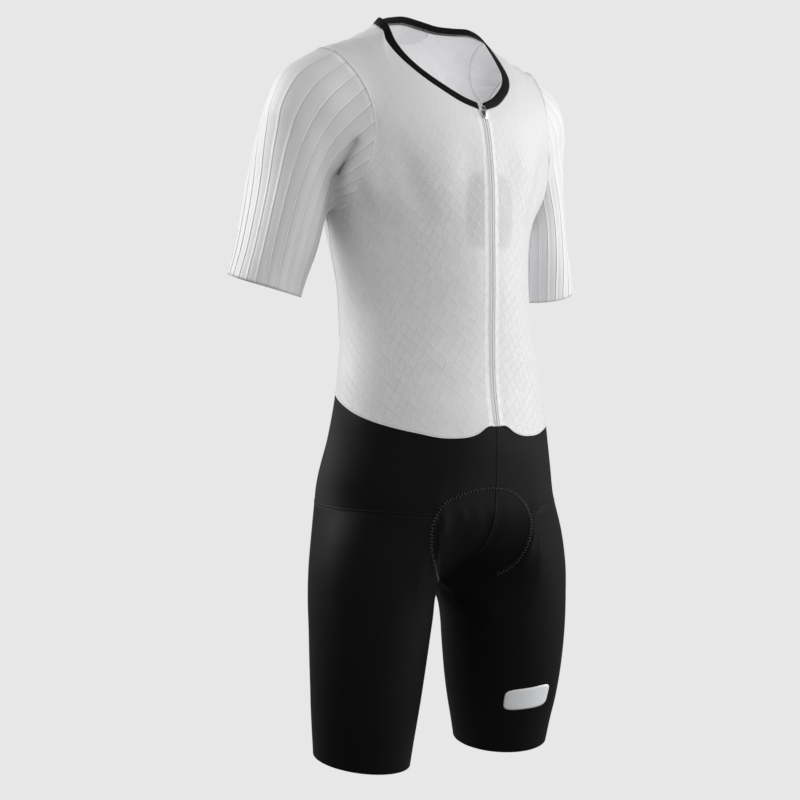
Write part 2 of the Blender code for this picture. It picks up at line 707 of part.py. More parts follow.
def neck_facing(grids, out):
    """Half-moon inside the back neck, laid in the top row of the back panel's cells."""
    panel = trimmed(grids["back"], ("left", "right", "bottom", "top"))
    top, below = panel[:, -1], panel[:, -2]
    lean_top, lean_below = out["back"][:, -1], out["back"][:, -2]
    x = FACING_HALF * np.sin(np.linspace(0.5, -0.5, FACING_COLUMNS + 1) * math.pi)
    order = np.argsort(top[:, 0])

    def at(line):
        return np.stack([np.interp(x, top[order, 0], line[order, k]) for k in range(3)], -1)

    top, below, lean_top, lean_below = (at(line) for line in (top, below, lean_top, lean_below))
    drop = FACING_DROP * np.sqrt(np.maximum(1 - (x / FACING_HALF) ** 2, 0.04))
    share = drop / np.linalg.norm(below - top, axis=1)
    level = np.stack([share, share / 2, np.full_like(share, 0.02)], 1)[..., None]
    strip = top[:, None] * (1 - level) + below[:, None] * level
    lean = lean_top[:, None] * (1 - level) + lean_below[:, None] * level
    cloth("neck_facing", strip, lean, "facing", thickness=FACING_WALL, proud=-CLOTH - LAYER_GAP)


def zip_tapes(grids, normal):
    """A tape under each front's edge, with the lip that shows in the opening."""
    panel = trimmed(grids["front"], ("right", "bottom", "top"))
    out = normal["front"][0]
    inner = panel[:2] - normal["front"][:2] * CLOTH
    base = inner[0]
    towards = inner[1] - base
    towards /= np.linalg.norm(towards, axis=-1, keepdims=True)
    middle = SEAM_GAP / 2 - ZIP_HALF
    under = -LAYER_GAP
    section = [(middle, under - TAPE), (TAPE_REACH, under - TAPE), (TAPE_REACH, under),
               (-SEAM_GAP, under), (-SEAM_GAP, CLOTH), (middle, CLOTH)]
    loop = np.stack([base + towards * across + out * up for across, up in section])
    loop[[0, -1], :, 0] = SEAM_GAP / 2
    count, rows = loop.shape[:2]
    points = loop.transpose(1, 0, 2).reshape(-1, 3)
    faces = [list(range(count)), [(rows - 1) * count + k for k in reversed(range(count))]]
    for j in range(rows - 1):
        for k in range(count):
            a, b = j * count + k, j * count + (k + 1) % count
            faces.append([b, a, a + count, b + count])
    add("zip_tape_left", points, faces, "zip_tape")
    add("zip_tape_right", points, faces, "zip_tape", flip=True)


def slider_frame(grids, normal):
    """Origin and axes of the slider: across, up the zip, out from the cloth."""
    line, lean = grids["front"][0], normal["front"][0]
    at, out = (np.stack([np.interp(SLIDER_HEIGHT, line[:, 2], of[:, axis]) for axis in range(3)])
               for of in (line, lean))
    at[0] = 0.0
    out[0] = 0.0
    out /= np.linalg.norm(out)
    across = np.array((1.0, 0.0, 0.0))
    return at, across, np.cross(out, across), out


def extruded(outline, low, high):
    """Points and faces of a flat outline with a thickness, in the slider's frame."""
    count = len(outline)
    points = [(x, u, low) for x, u in outline] + [(x, u, high) for x, u in outline]
    faces = [list(reversed(range(count))), list(range(count, 2 * count))]
    for k in range(count):
        after = (k + 1) % count
        faces.append([k, after, after + count, k + count])
    return np.array(points), faces


def box(low, high):
    """Points and faces of a box between two corners, in the slider's frame."""
    outline = [(low[0], low[1]), (high[0], low[1]), (high[0], high[1]), (low[0], high[1])]
    return extruded(outline, low[2], high[2])


def placed(shape, frame):
    points, faces = shape
    at, across, up, out = frame
    return at + points @ np.stack([across, up, out]), faces


def combined(name, shapes, frame, finish):
    """Overlapping shapes as one body."""
    whole = add(name, *placed(shapes[0], frame), finish)
    for shape in shapes[1:]:
        extra = add(f"{name}_extra", *placed(shape, frame), finish)
        join = whole.modifiers.new("join", "BOOLEAN")
        join.operation = "UNION"
        join.solver = "EXACT"
        join.object = extra
        depsgraph = bpy.context.evaluated_depsgraph_get()
        mesh = bpy.data.meshes.new_from_object(whole.evaluated_get(depsgraph))
        whole.modifiers.clear()
        whole.data = mesh
        bpy.data.objects.remove(extra)
    return whole


def zip_slider(grids, normal):
    """Slider with its bail, and the pull whose pin runs under the bail."""
    frame = slider_frame(grids, normal)
    half, foot, top = SLIDER_HALF_LENGTH, SLIDER_FOOT_HALF, SLIDER_TOP_HALF
    corner = 0.0008
    plate = [(-foot + corner, -half), (foot - corner, -half), (foot, corner - half), (foot, 0.0),
             (top, half * 0.45), (top, half - corner), (top - corner, half), (corner - top, half),
             (-top, half - corner), (-top, half * 0.45), (-foot, 0.0), (-foot, corner - half)]
    low, high = SLIDER_CLEAR, SLIDER_CLEAR + SLIDER_WALL
    pin = high + PIN_CLEAR + PIN_RADIUS
    under_bail = pin + PIN_RADIUS + PIN_CLEAR
    sink = SLIDER_WALL / 2
    shapes = [extruded(plate, low, high)]
    for end in (-1, 1):
        ends = sorted((end * BAIL_HALF_LENGTH, end * (BAIL_HALF_LENGTH - BAIL_WALL)))
        shapes.append(box((-BAIL_HALF_WIDTH, ends[0], high - sink),
                          (BAIL_HALF_WIDTH, ends[1], under_bail + BAIL_WALL / 2)))
    shapes.append(box((-BAIL_HALF_WIDTH - 1e-5, -BAIL_HALF_LENGTH - 1e-5, under_bail),
                      (BAIL_HALF_WIDTH + 1e-5, BAIL_HALF_LENGTH + 1e-5, under_bail + BAIL_WALL)))
    combined("zip_slider", shapes, frame, "zip_metal")
    pull(frame, pin)


def pull(frame, pin):
    """Pull tab, pointing up the zip, with a slot for the bail and a hole near its tip."""
    wide, slot = PULL_HALF_WIDTH, PULL_SLOT_HALF
    heel, tip = -PIN_RADIUS, PULL_LENGTH
    outline = [(-wide, heel), (wide, heel), (wide, tip - 0.0012), (wide - 0.0012, tip),
               (0.0012 - wide, tip), (-wide, tip - 0.0012)]
    openings = [
        [(-slot, PIN_RADIUS), (slot, PIN_RADIUS), (slot, PULL_SLOT_END), (-slot, PULL_SLOT_END)],
        [(-PULL_HOLE_HALF, PULL_HOLE_START), (PULL_HOLE_HALF, PULL_HOLE_START),
         (PULL_HOLE_HALF, PULL_HOLE_END), (-PULL_HOLE_HALF, PULL_HOLE_END)],
    ]
    low, high = pin - PIN_RADIUS, pin + PIN_RADIUS
    whole = add("zip_pull", *placed(extruded(outline, low, high), frame), "zip_metal")
    for opening in openings:
        cutter = add("cutter", *placed(extruded(opening, low - 0.001, high + 0.001), frame), "zip_metal")
        hole = whole.modifiers.new("hole", "BOOLEAN")
        hole.operation = "DIFFERENCE"
        hole.solver = "EXACT"
        hole.object = cutter
        depsgraph = bpy.context.evaluated_depsgraph_get()
        mesh = bpy.data.meshes.new_from_object(whole.evaluated_get(depsgraph))
        whole.modifiers.clear()
        whole.data = mesh
        bpy.data.objects.remove(cutter)


def main():
    for old in list(bpy.data.objects):
        bpy.data.objects.remove(old)
    lines = seams()
    grids = {"front": front_grid(lines), "back": back_grid(lines), "yoke": yoke_grid(lines),
             "leg": leg_grid(lines), "sleeve": sleeve_grid(lines), "collar": collar_grid(lines)}
    normal = shared_normals(grids)
    bodice(grids, normal)
    shorts(grids, normal)
    seat_pad(lines, grids)
    collar(grids, normal)
    neck_facing(grids, normal)
    zip_tapes(grids, normal)
    zip_slider(grids, normal)


main()
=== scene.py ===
"""Looks of a short-sleeved cycling skinsuit, hollow, in its worn form.

Metres, +Z up. The front faces -Y and the wearer's right side is at -X. The cloth panels are the
grids of the frame's own solids, cut finer, with ribs, hems, seams, stitches and finishes.
"""

import math

import bmesh
import bpy
import numpy as np
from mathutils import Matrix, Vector
from mathutils.bvhtree import BVHTree


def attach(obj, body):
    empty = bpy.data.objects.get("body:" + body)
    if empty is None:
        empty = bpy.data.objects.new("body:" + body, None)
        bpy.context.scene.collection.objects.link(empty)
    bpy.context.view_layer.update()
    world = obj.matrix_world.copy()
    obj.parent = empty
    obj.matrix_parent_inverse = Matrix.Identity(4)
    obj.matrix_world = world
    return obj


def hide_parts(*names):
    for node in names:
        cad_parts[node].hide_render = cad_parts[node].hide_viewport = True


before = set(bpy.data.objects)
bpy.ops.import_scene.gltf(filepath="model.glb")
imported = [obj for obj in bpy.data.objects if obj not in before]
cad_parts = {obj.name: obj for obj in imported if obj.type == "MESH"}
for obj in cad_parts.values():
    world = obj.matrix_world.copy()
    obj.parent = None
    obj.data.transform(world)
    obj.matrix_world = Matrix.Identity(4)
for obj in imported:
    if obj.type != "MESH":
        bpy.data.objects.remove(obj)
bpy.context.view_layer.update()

# Cloth and trims, as in the frame
CLOTH = 0.0012          # wall of every cloth panel
SLACK = 0.004           # how far tight cloth may bridge a hollow of the figure
ZIP_HALF = 0.0038       # centre front to the folded edge of a front panel
COLLAR_RISE = 0.0110
COLLAR_WALL = 0.0020
PAD_INSIDE = 0.0047     # from the cloth's outer face to the pad
PAD_WALL = 0.0060
FACING_HALF = 0.038
FACING_DROP = 0.025
SIDES = (("left", False), ("right", True))      # which side, and whether it is mirrored
LEAST_AREA = 0.3        # least share of width times length that a cut's worked-out area is raised to

# The figure under the cloth: its left half, mirrored in the plane x = 0
TRUNK = np.array([
    # height, half_width, front, back, centre
    (-0.800, 0.1500, 0.078, 0.076, 0.000),
    (-0.740, 0.1530, 0.092, 0.090, 0.000),
    (-0.680, 0.1580, 0.096, 0.108, 0.000),
    (-0.620, 0.1630, 0.107, 0.118, -0.004),
    (-0.560, 0.1560, 0.115, 0.118, -0.001),
    (-0.500, 0.1440, 0.114, 0.104, -0.004),
    (-0.440, 0.1365, 0.101, 0.096, -0.008),
    (-0.380, 0.1250, 0.107, 0.098, 0.000),
    (-0.320, 0.1185, 0.118, 0.106, 0.010),
    (-0.260, 0.1250, 0.125, 0.115, 0.018),
    (-0.200, 0.1470, 0.116, 0.120, 0.010),
    (-0.140, 0.1640, 0.106, 0.112, 0.008),
    (-0.080, 0.1700, 0.092, 0.096, 0.010),
    (-0.020, 0.1640, 0.076, 0.080, 0.014),
    (0.040, 0.1600, 0.070, 0.074, 0.016),
])
LEG = np.array([
    # height, x, y, half_long, half_short
    (-0.960, 0.1085, 0.012, 0.0530, 0.0530),
    (-0.895, 0.1070, 0.009, 0.0586, 0.0586),
    (-0.820, 0.1055, 0.003, 0.0720, 0.0657),
    (-0.745, 0.1028, -0.002, 0.0790, 0.0714),
    (-0.690, 0.0996, -0.004, 0.0810, 0.0751),
    (-0.620, 0.0930, -0.008, 0.0790, 0.0740),
    (-0.540, 0.0860, -0.010, 0.0700, 0.0700),
])
ARM = np.array([
    # height, x, y, half_width, half_depth
    (-0.380, 0.2270, 0.063, 0.0440, 0.0490),
    (-0.320, 0.2115, 0.060, 0.0450, 0.0515),
    (-0.280, 0.1977, 0.0605, 0.0450, 0.0610),
    (-0.240, 0.1880, 0.0590, 0.0440, 0.0660),
    (-0.200, 0.1805, 0.0565, 0.0435, 0.0685),
    (-0.150, 0.1712, 0.0470, 0.0485, 0.0645),
    (-0.100, 0.1600, 0.0350, 0.0530, 0.0565),
    (-0.060, 0.1500, 0.0250, 0.0460, 0.0460),
])
SHOULDER_SLOPE = np.array([
    # x, height
    (0.000, 0.000),
    (0.080, -0.010),
    (0.120, -0.027),
    (0.150, -0.044),
    (0.190, -0.070),
    (0.240, -0.112),
])
SHOULDER_RIDGE = 0.023      # y of the line along their tops
SHOULDER_FALL = 1.05        # how steeply they fall to the front
SHOULDER_ROUND = 0.020
SHOULDER_ARCH = 0.20        # how gently they fall to the back
SHOULDER_BLEND = 0.030
DELTOID = np.array((0.1537, 0.0320, -0.1010))
DELTOID_RADIUS = 0.0555
THIGH_TURN = math.radians(36.0)     # the thigh's long axis, from the side to the front
THIGH_TOP = -0.60
BACK_SQUARE = 2.25          # power of the back's ovals; 2 is a plain oval
CROTCH = -0.681
CROTCH_FRONT = {"start": -0.004, "slope": 0.50, "reach": 0.13}
CROTCH_BACK = {"start": 0.03, "slope": 0.10, "reach": 0.1}
CROTCH_SIDE = {"start": 0.045, "slope": 0.9}
ARMPIT = {"blend": 0.010, "more": 0.020, "height": -0.18, "over": 0.06}
NECK_RADIUS = 0.057
NECK_CENTRE = 0.016
NECK_LEAN = 0.25
NECK_FOOT = -0.06
LEVEL = {"shoulder": 0.85, "crotch": 0.9, "thigh": 0.8, "arm": 0.9}     # scales of the level cuts
BLEND = {"crotch": 0.040, "thigh": 0.06, "arm": 0.02, "leg": 0.030, "neck_foot": 0.02, "neck": 0.045}

# Seams, each on the left half unless it runs round the body
WAIST = np.array([
    # angle from the centre front, height; a row for each column of the panels
    (0.0, -0.4880),
    (7.0, -0.4880),
    (14.5, -0.4965),
    (23.0, -0.5005),
    (36.0, -0.5002),
    (48.0, -0.4950),
    (60.0, -0.4890),
    (72.0, -0.4815),
    (84.0, -0.4720),
    (97.0, -0.4595),
    (110.0, -0.4490),
    (123.0, -0.4440),
    (135.0, -0.4425),
    (146.0, -0.4415),
    (157.0, -0.4405),
    (168.0, -0.4400),
    (180.0, -0.4400),
])
HIP = np.array([
    # angle from the centre front, height
    (37.0, -0.590),
    (60.0, -0.586),
    (90.0, -0.583),
    (120.0, -0.580),
    (150.0, -0.578),
    (180.0, -0.577),
])
SIDE = np.array([
    # angle from the centre front, height
    (120.0, -0.390),
    (116.0, -0.330),
    (112.0, -0.275),
])
NECKLINE = [
    # x, y, height
    (ZIP_HALF, -0.0900, -0.1125),
    (0.0240, -0.0861, -0.1057),
    (0.0490, -0.0734, -0.0902),
    (0.0690, -0.0561, -0.0722),
    (0.0810, -0.0317, -0.0488),
    (0.0826, 0.0010, -0.0186),
    (0.0710, 0.0190, -0.0155),
    (0.0580, 0.0365, -0.0115),
    (0.0460, 0.0510, -0.0060),
    (0.0325, 0.0635, 0.0020),
    (0.0180, 0.0730, 0.0100),
    (0.0000, 0.0770, 0.0135),
]
ARMHOLE = [
    # x, y, height; from the side seam under the arm to the front, over the top and down the back
    (0.138, 0.052, -0.232),
    (0.137, 0.010, -0.238),
    (0.134, -0.030, -0.212),
    (0.130, -0.052, -0.176),
    (0.129, -0.060, -0.141),
    (0.132, -0.057, -0.110),
    (0.140, -0.039, -0.078),
    (0.147, -0.010, -0.052),
    (0.152, 0.014, -0.042),
    (0.150, 0.036, -0.050),
    (0.143, 0.060, -0.072),
    (0.137, 0.080, -0.108),
    (0.136, 0.089, -0.150),
    (0.138, 0.082, -0.197),
    (0.138, 0.052, -0.232),
]
SHOULDER_SEAM = [
    # x, y, height; between the neckline and the back of the armhole
    (0.100, 0.062, -0.030),
    (0.122, 0.078, -0.068),
]
CHEST_LINE = [
    # x, y, height; centre front between waist and neck
    (ZIP_HALF, -0.108, -0.400),
    (ZIP_HALF, -0.108, -0.300),
    (ZIP_HALF, -0.107, -0.200),
]
GROIN = [
    # x, y, height; from the crotch up the front of the thigh to the hip seam
    (0.000, -0.006, -0.681),
    (0.026, -0.040, -0.680),
    (0.056, -0.075, -0.654),
    (0.073, -0.096, -0.622),
]
BELLY_LINE = [
    # x, y, height; centre front seam below the waist
    (0.000, -0.116, -0.560),
    (0.000, -0.112, -0.610),
    (0.000, -0.098, -0.637),
    (0.000, -0.062, -0.655),
    (0.000, -0.006, -0.681),
]
SEAT_LINE = [
    # x, y, height; centre back seam below the hip seam
    (0.000, 0.118, -0.620),
    (0.000, 0.095, -0.665),
    (0.000, 0.050, -0.690),
    (0.000, -0.006, -0.681),
]
PAD_EDGE = [
    # x, y, height; outline of the seat pad, from the front to the back
    (0.034, -0.118, -0.566),
    (0.063, -0.109, -0.584),
    (0.072, -0.098, -0.618),
    (0.058, -0.078, -0.652),
    (0.036, -0.040, -0.690),
    (0.030, 0.000, -0.712),
    (0.038, 0.040, -0.712),
    (0.062, 0.076, -0.690),
    (0.068, 0.100, -0.655),
    (0.040, 0.114, -0.628),
]
FRONT_COLUMNS = 11      # columns of a front panel at the waist
NECK_COLUMNS = 7        # of those, the ones that end on the neckline
BACK_NECK_COLUMNS = 5   # half of the back neckline
SIDE_ROWS = 8
ARMHOLE_STEPS = 20
ARMHOLE_ROUNDS = 3
ARMHOLE_SLACK = 0.008
ARMHOLE_FRONT = 14      # armhole steps that belong to a front panel
NECK_SHARE = 0.60       # share of the half neckline on a front panel
GROIN_STEPS = 4
YOKE_ROWS = 9
SEAT_STEPS = 6
LEG_ROWS = 9
SLEEVE_ROWS = 12
PAD_COLUMNS = 4
PAD_ROWS = 14
SETTLE_ROUNDS = 60
SETTLE_STEP = 0.8
SAME_PLACE = 1e-5       # panels' points closer than this share one normal
SAME_SEAM = 2e-5        # and a seam's points this close are one point

HEM = {"x": 0.107, "y": 0.009, "height": -0.890, "radius": 0.0586, "lean_y": 0.147, "lean_x": 0.055}
CUFF = {"x": 0.2115, "y": 0.060, "height": -0.322, "half_width": 0.0450, "half_depth": 0.0515,
        "lean_y": 0.19, "lean_x": 0.25, "start": 0.70}
RINGS = ("leg", "sleeve")

# Knits: the bodice has two families of raised lines that cross in slanting cells
CHECK_FALL = (55.0, -68.0)      # lines in a metre across and up: these fall towards the centre front
CHECK_RISE = (85.0, 46.0)       # and these rise towards it, more steeply
CHECK_LINE = 0.050              # half width of a raised line, as a share of their spacing
CHECK_BESIDE = 0.110            # and of the shade on both sides of it
CHECK_LOOP = {"course": 0.00085, "wale": 0.0007}
RIB_COURSE = 0.0009
BLACK_LOOP = {"course": 0.0011, "wale": 0.0009}
FLY_BAND = 0.0085               # doubled cloth beside the zip
FLY_EASE = 0.0006
BREASTBONE_SHADE = {"half": 0.036, "height": -0.234, "rise": 0.046}       # painted shade over the breastbone, a rounded patch either side of the zip
GREY_SHADE = (0.30, 0.30, 0.31)
FOLD_SHADE = (0.05, 0.05, 0.055)

# Trims
WAIST_LAP = {"height": 0.0007, "depth": 0.006, "power": 4.0}    # the bodice stands over the shorts
COLLAR_INSET = 0.012            # of a step, from the zip to the neck binding's ends
COLLAR_ROUND = 3.2              # power of its section; 2 is a plain oval
COLLAR_SINK = 0.0006            # its middle lies this far inside the cloth's outer face
COLLAR_UNDER = 0.0001           # and its inner face is this much deeper than its outer one is high
STRIP_END = {"over": 0.0010, "least": 0.25}     # a free end is rounded off over this run
STRIP_MEET = {"over": 0.0006, "least": 0.9}     # and each end thins over this one, for a fine groove
BINDING_COVER = 0.012           # m of the shoulder seam that the neck binding covers
FACING_GAP = 0.0002
FACING_WALL = 0.0007
FACING_EDGE = {"width": 0.0014, "height": 0.0004, "inside": 0.0008}
TAB = {"ring": 4.5, "half_ring": 1.55, "row": 2.5, "half_row": 0.47, "corner": 5, "height": 0.00055,
       "glue": 0.00004, "rim": 0.00012, "edge_power": 14}
TAB_STEP = 0.125                # of a cell of the leg, in the finer grid that the tab lies on
TAB_GRID = (12, 6.01)           # rings and rows of the leg that this grid spans
PAD_RIM = 0.0014
PAD_TAPER = {"side": 0.22, "end": 0.08}         # shares of its half width and of its length
PAD_GROOVE = {"at": 0.28, "half": 0.045, "depth": 0.0016}
PAD_CENTRE = {"half": 0.10, "depth": 0.0022}
PAD_CROSSING = {"at": (0.33, 0.52, 0.70), "half": 0.012, "depth": 0.0010}
SEAMS = [
    # seam, width, height, finish, slot, both sides
    ("armhole", 0.0015, 0.00045, "white_seam", "ribbed_knit", True),
    ("side", 0.0018, 0.00050, "white_seam", "check_knit", True),
    ("shoulder", 0.0020, 0.00055, "white_seam", "check_knit", True),
    ("hip", 0.0024, 0.00040, "black_seam", "black_knit", True),
    ("groin", 0.0010, 0.00012, "black_seam", "black_knit", True),
    ("belly", 0.0026, 0.00024, "black_seam", "black_knit", False),
    ("loin", 0.0026, 0.00040, "black_seam", "black_knit", False),
    ("seat", 0.0026, 0.00040, "black_seam", "black_knit", False),
]
RIDGE_SIDES = 8
WAIST_EDGE = {"width": 0.0011, "height": 0.00075, "out": 0.0003, "up": 0.0004}
FRONT_EDGE = {"width": 0.0014, "height": 0.00085, "aside": 0.00045, "inside": 0.0004}
FOLDS = [
    # shaded bottoms of the folds under the arm: ends, half width, share of the shade
    ((0.1535, -0.0095, -0.191), (0.1442, -0.0362, -0.152), 0.0020, 0.92),
    ((0.1530, -0.0110, -0.192), (0.1450, -0.0350, -0.156), 0.0075, 0.45),
    ((0.1530, -0.0040, -0.200), (0.1490, 0.0040, -0.232), 0.0150, 0.45),
]

CREASE_END = 0.12       # share of a half wave at which a crease starts and ends
CREASES = [
    # from x, y, height; to x, y, height; width; how far out (in below 0)
    (0.158, -0.004, -0.208, 0.145, -0.045, -0.146, 0.0046, -0.0045),
    (0.146, -0.020, -0.214, 0.136, -0.058, -0.160, 0.0075, 0.0024),
    (0.166, -0.010, -0.205, 0.154, -0.040, -0.152, 0.0070, 0.0020),
    (0.153, -0.002, -0.215, 0.147, -0.006, -0.255, 0.0100, -0.0040),
    (0.134, -0.045, -0.232, 0.118, -0.070, -0.262, 0.0080, -0.0014),
    (0.130, 0.062, -0.250, 0.112, 0.088, -0.290, 0.0090, -0.0014),
    (0.146, 0.080, -0.205, 0.152, 0.088, -0.165, 0.0060, -0.0022),
    (0.030, -0.106, -0.150, 0.034, -0.112, -0.245, 0.0200, -0.0024),
    (0.050, -0.100, -0.155, 0.066, -0.098, -0.200, 0.0220, 0.0014),
    (0.106, -0.064, -0.160, 0.084, -0.086, -0.245, 0.0150, -0.0046),
    (0.133, -0.038, -0.160, 0.125, -0.047, -0.235, 0.0130, 0.0050),
    (0.060, -0.107, -0.330, 0.096, -0.080, -0.352, 0.0140, -0.0012),
    (0.040, -0.108, -0.420, 0.088, -0.088, -0.404, 0.0120, 0.0010),
    (0.050, 0.100, -0.395, 0.096, 0.080, -0.380, 0.0120, -0.0014),
    (0.030, 0.100, -0.420, 0.070, 0.092, -0.428, 0.0090, 0.0010),
    (0.020, -0.118, -0.640, 0.056, -0.084, -0.666, 0.0080, -0.0020),
    (0.058, 0.088, -0.690, 0.110, 0.084, -0.706, 0.0110, -0.0016),
    (0.036, 0.020, -0.730, 0.052, -0.045, -0.722, 0.0080, 0.0012),
    (0.060, -0.098, -0.500, 0.100, -0.070, -0.530, 0.0160, -0.0010),
]

PAD_STITCHES = [
    # x, height; the pad's outline on the front, from the wearer's right round to the left
    (-0.048, -0.6730),
    (-0.066, -0.6580),
    (-0.079, -0.6360),
    (-0.082, -0.6120),
    (-0.078, -0.5920),
    (-0.067, -0.5760),
    (-0.048, -0.5670),
    (-0.024, -0.5620),
    (0.000, -0.5615),
    (0.024, -0.5670),
    (0.046, -0.5800),
    (0.060, -0.5970),
    (0.065, -0.6200),
    (0.064, -0.6420),
    (0.057, -0.6600),
    (0.044, -0.6730),
]
PAD_STITCHES_BACK = [
    # x, height; and on the seat
    (-0.040, -0.7000),
    (-0.060, -0.6780),
    (-0.064, -0.6500),
    (-0.040, -0.6300),
    (0.000, -0.6260),
    (0.040, -0.6300),
    (0.064, -0.6500),
    (0.060, -0.6780),
    (0.040, -0.7000),
]

CAMERA = {"place": (-1.289, -1.696, -0.405), "facing": -36.0, "down": 1.459, "lens": 77.76}
FLOOR = -1.45
FLOOR_HALF = 30.0
BACKDROP = 0.80                 # tone of the floor and the backdrop as the camera sees them
AMBIENT = 0.29                  # and of the even light on the garment
LIGHT_REACH = 2.2
LIGHTS = [
    # name, degrees round from the camera, height, size, power
    ("side_right", 96.0, 0.10, (1.4, 2.4), 48.0),
    ("side_left", -112.0, 0.50, (0.9, 1.3), 47.0),
    ("front", 20.0, 0.35, (1.4, 1.4), 16.0),
    ("fill", -42.0, 0.10, (1.2, 1.8), 4.0),
]
LIGHT_TARGET = (0.0, 0.0, -0.42)
# A small lamp that stands in for light through the cloth
INSIDE = {"place": (0.0, -0.010, -0.150), "size": 0.04, "power": 0.36}

# The zip, in sections across it
ZIP_TAPE = 0.0088               # centre front to the tape's outer edge
ZIP_GAP = 0.0002
ZIP_WALL = 0.0005
ZIP_UNDER = -CLOTH - 0.0003     # where the tape's face lies, out from the cloth's outer face
ZIP_LIP = {"middle": 0.0018, "half": 0.0015, "height": 0.0009, "foot": ZIP_UNDER * 0.35}
COIL_SLANT = 0.45
COIL_SHARE = 0.92               # of the lip's height
FLY_ROWS = (6, 7)               # the stitches' row runs between these rows of a front's points
FLY_STITCH = 0.0074

STITCHES = {
    # half length, half width, half height; pitch; turn to each side in radians; lift off the cloth
    "coil": ((0.00125, 0.00042, 0.00022), 0.00135, 0.0, 0.0),
    "fly": ((0.00120, 0.00020, 0.00020), 0.0019, 0.80, 0.00012),
    "pad": ((0.0025, 0.00062, 0.00062), 0.0040, 1.15, 0.0002),
    "belly": ((0.0010, 0.00045, 0.00025), 0.0032, 0.0, 0.0004),
    "neck": ((0.00135, 0.00022, 0.00022), 0.0018, 0.9, 0.0),
}
NECK_ROWS = [
    # face of the neck binding, lift, side of the cloth, drops below the neck edge (or rises), thread
    ("inside", 0.0018, -1.0, (-0.0026, -0.0012), "grey_thread"),
    ("outside", 0.0002, 1.0, (0.0016,), "white_thread"),
]

CLOTHS = {
    # colour, roughness, pitch of the wales, relief, unevenness of the colour, gloss
    "binding": ((0.0030, 0.0030, 0.0034), 0.5, 0.0009, 0.00012, 0.3, 0.08),
    "facing": ((0.66, 0.66, 0.67), 0.65, 0.0010, 0.00012, 0.1, 0.3),
    "zip_tape": ((0.72, 0.72, 0.73), 0.55, 0.0012, 0.00010, 0.10, 0.3),
    "pad_foam": ((0.045, 0.045, 0.050), 0.8, 0.0016, 0.00020, 0.3, 0.3),
    "white_seam": ((0.82, 0.82, 0.83), 0.5, 0.0010, 0.00006, 0.06, 0.3),
    "black_seam": ((0.0045, 0.0045, 0.005), 0.5, 0.0010, 0.00010, 0.3, 0.1),
}
TRIMS = {
    # colour, roughness, metallic, grains in a metre, relief
    "white_thread": ((0.86, 0.86, 0.87), 0.5, 0.0, 900.0, 0.00004),
    "zip_thread": ((0.80, 0.80, 0.82), 0.35, 0.0, 900.0, 0.00004),
    "grey_thread": ((0.42, 0.42, 0.43), 0.5, 0.0, 900.0, 0.00004),
    "black_thread": ((0.026, 0.026, 0.028), 0.38, 0.0, 900.0, 0.00004),
    "seam_thread": ((0.0010, 0.0010, 0.0012), 0.6, 0.0, 900.0, 0.00004),
    "bonded_film": ((0.80, 0.81, 0.82), 0.38, 0.0, 1400.0, 0.00005),
    "slider_metal": ((0.70, 0.70, 0.72), 0.30, 1.0, 900.0, 0.00004),
    "pull_metal": ((0.16, 0.16, 0.17), 0.36, 1.0, 900.0, 0.00004),
}


def along(table, at):
    """A table's other columns at values of its first one, on a smooth curve through its rows."""
    knots, values = table[:, 0], table[:, 1:]
    slopes = np.gradient(values, knots, axis=0)
    at = np.clip(at, knots[0], knots[-1])
    cell = np.clip(np.searchsorted(knots, at, side="right") - 1, 0, len(knots) - 2)
    span = (knots[cell + 1] - knots[cell])[..., None]
    t = (at - knots[cell])[..., None] / span
    rise = t * t * (3 - 2 * t)
    bend = span * t * (1 - t) * ((1 - t) * slopes[cell] - t * slopes[cell + 1])
    return (1 - rise) * values[cell] + rise * values[cell + 1] + bend


def joined(a, b, blend):
    """Two shapes as one, rounded over blend where they meet."""
    near = np.maximum(blend - np.abs(a - b), 0) / blend
    return np.minimum(a, b) - near * near * blend / 4


def cut(a, b, blend):
    """What two shapes share, with a rounded edge."""
    return -joined(-a, -b, blend)


def oval(dx, dy, half_x, half_y, power=2.0):
    """Level distance to an oval section, negative inside it."""
    size = ((np.abs(dx) / half_x) ** power + (np.abs(dy) / half_y) ** power) ** (1 / power)
    size = np.maximum(size, 0.05)
    return np.hypot(dx, dy) * (1 - 1 / size) - np.where(size <= 0.05, 0.05, 0)


def trunk(x, y, z):
    """Distance to the trunk, cut off over the shoulders and under the crotch."""
    width, front, back, centre = np.moveaxis(along(TRUNK, z), -1, 0)
    behind = y > centre
    shape = oval(x, y - centre, width, np.where(behind, back, front), np.where(behind, BACK_SQUARE, 2.0))
    before = SHOULDER_RIDGE - y
    fall = SHOULDER_FALL * (np.hypot(before, SHOULDER_ROUND) - SHOULDER_ROUND)
    fall = np.where(before > 0, fall, before ** 2 / SHOULDER_ARCH)
    over = (z - along(SHOULDER_SLOPE, x)[..., 0] + fall) * LEVEL["shoulder"]
    shape = cut(shape, over, SHOULDER_BLEND)
    before = np.clip(y - CROTCH_FRONT["start"], -CROTCH_FRONT["reach"], 0)
    after = np.clip(y - CROTCH_BACK["start"], 0, CROTCH_BACK["reach"])
    under = CROTCH - CROTCH_FRONT["slope"] * before + CROTCH_BACK["slope"] * after
    under = under - CROTCH_SIDE["slope"] * np.maximum(x - CROTCH_SIDE["start"], 0)
    return cut(shape, (under - z) * LEVEL["crotch"], BLEND["crotch"])


def leg(x, y, z):
    """Distance to the left leg."""
    middle_x, middle_y, long, short = np.moveaxis(along(LEG, z), -1, 0)
    dx, dy = x - middle_x, y - middle_y
    outer_front = dx * math.cos(THIGH_TURN) - dy * math.sin(THIGH_TURN)
    inner_front = dx * math.sin(THIGH_TURN) + dy * math.cos(THIGH_TURN)
    below = (z - THIGH_TOP) * LEVEL["thigh"]
    return cut(oval(outer_front, inner_front, long, short), below, BLEND["thigh"])


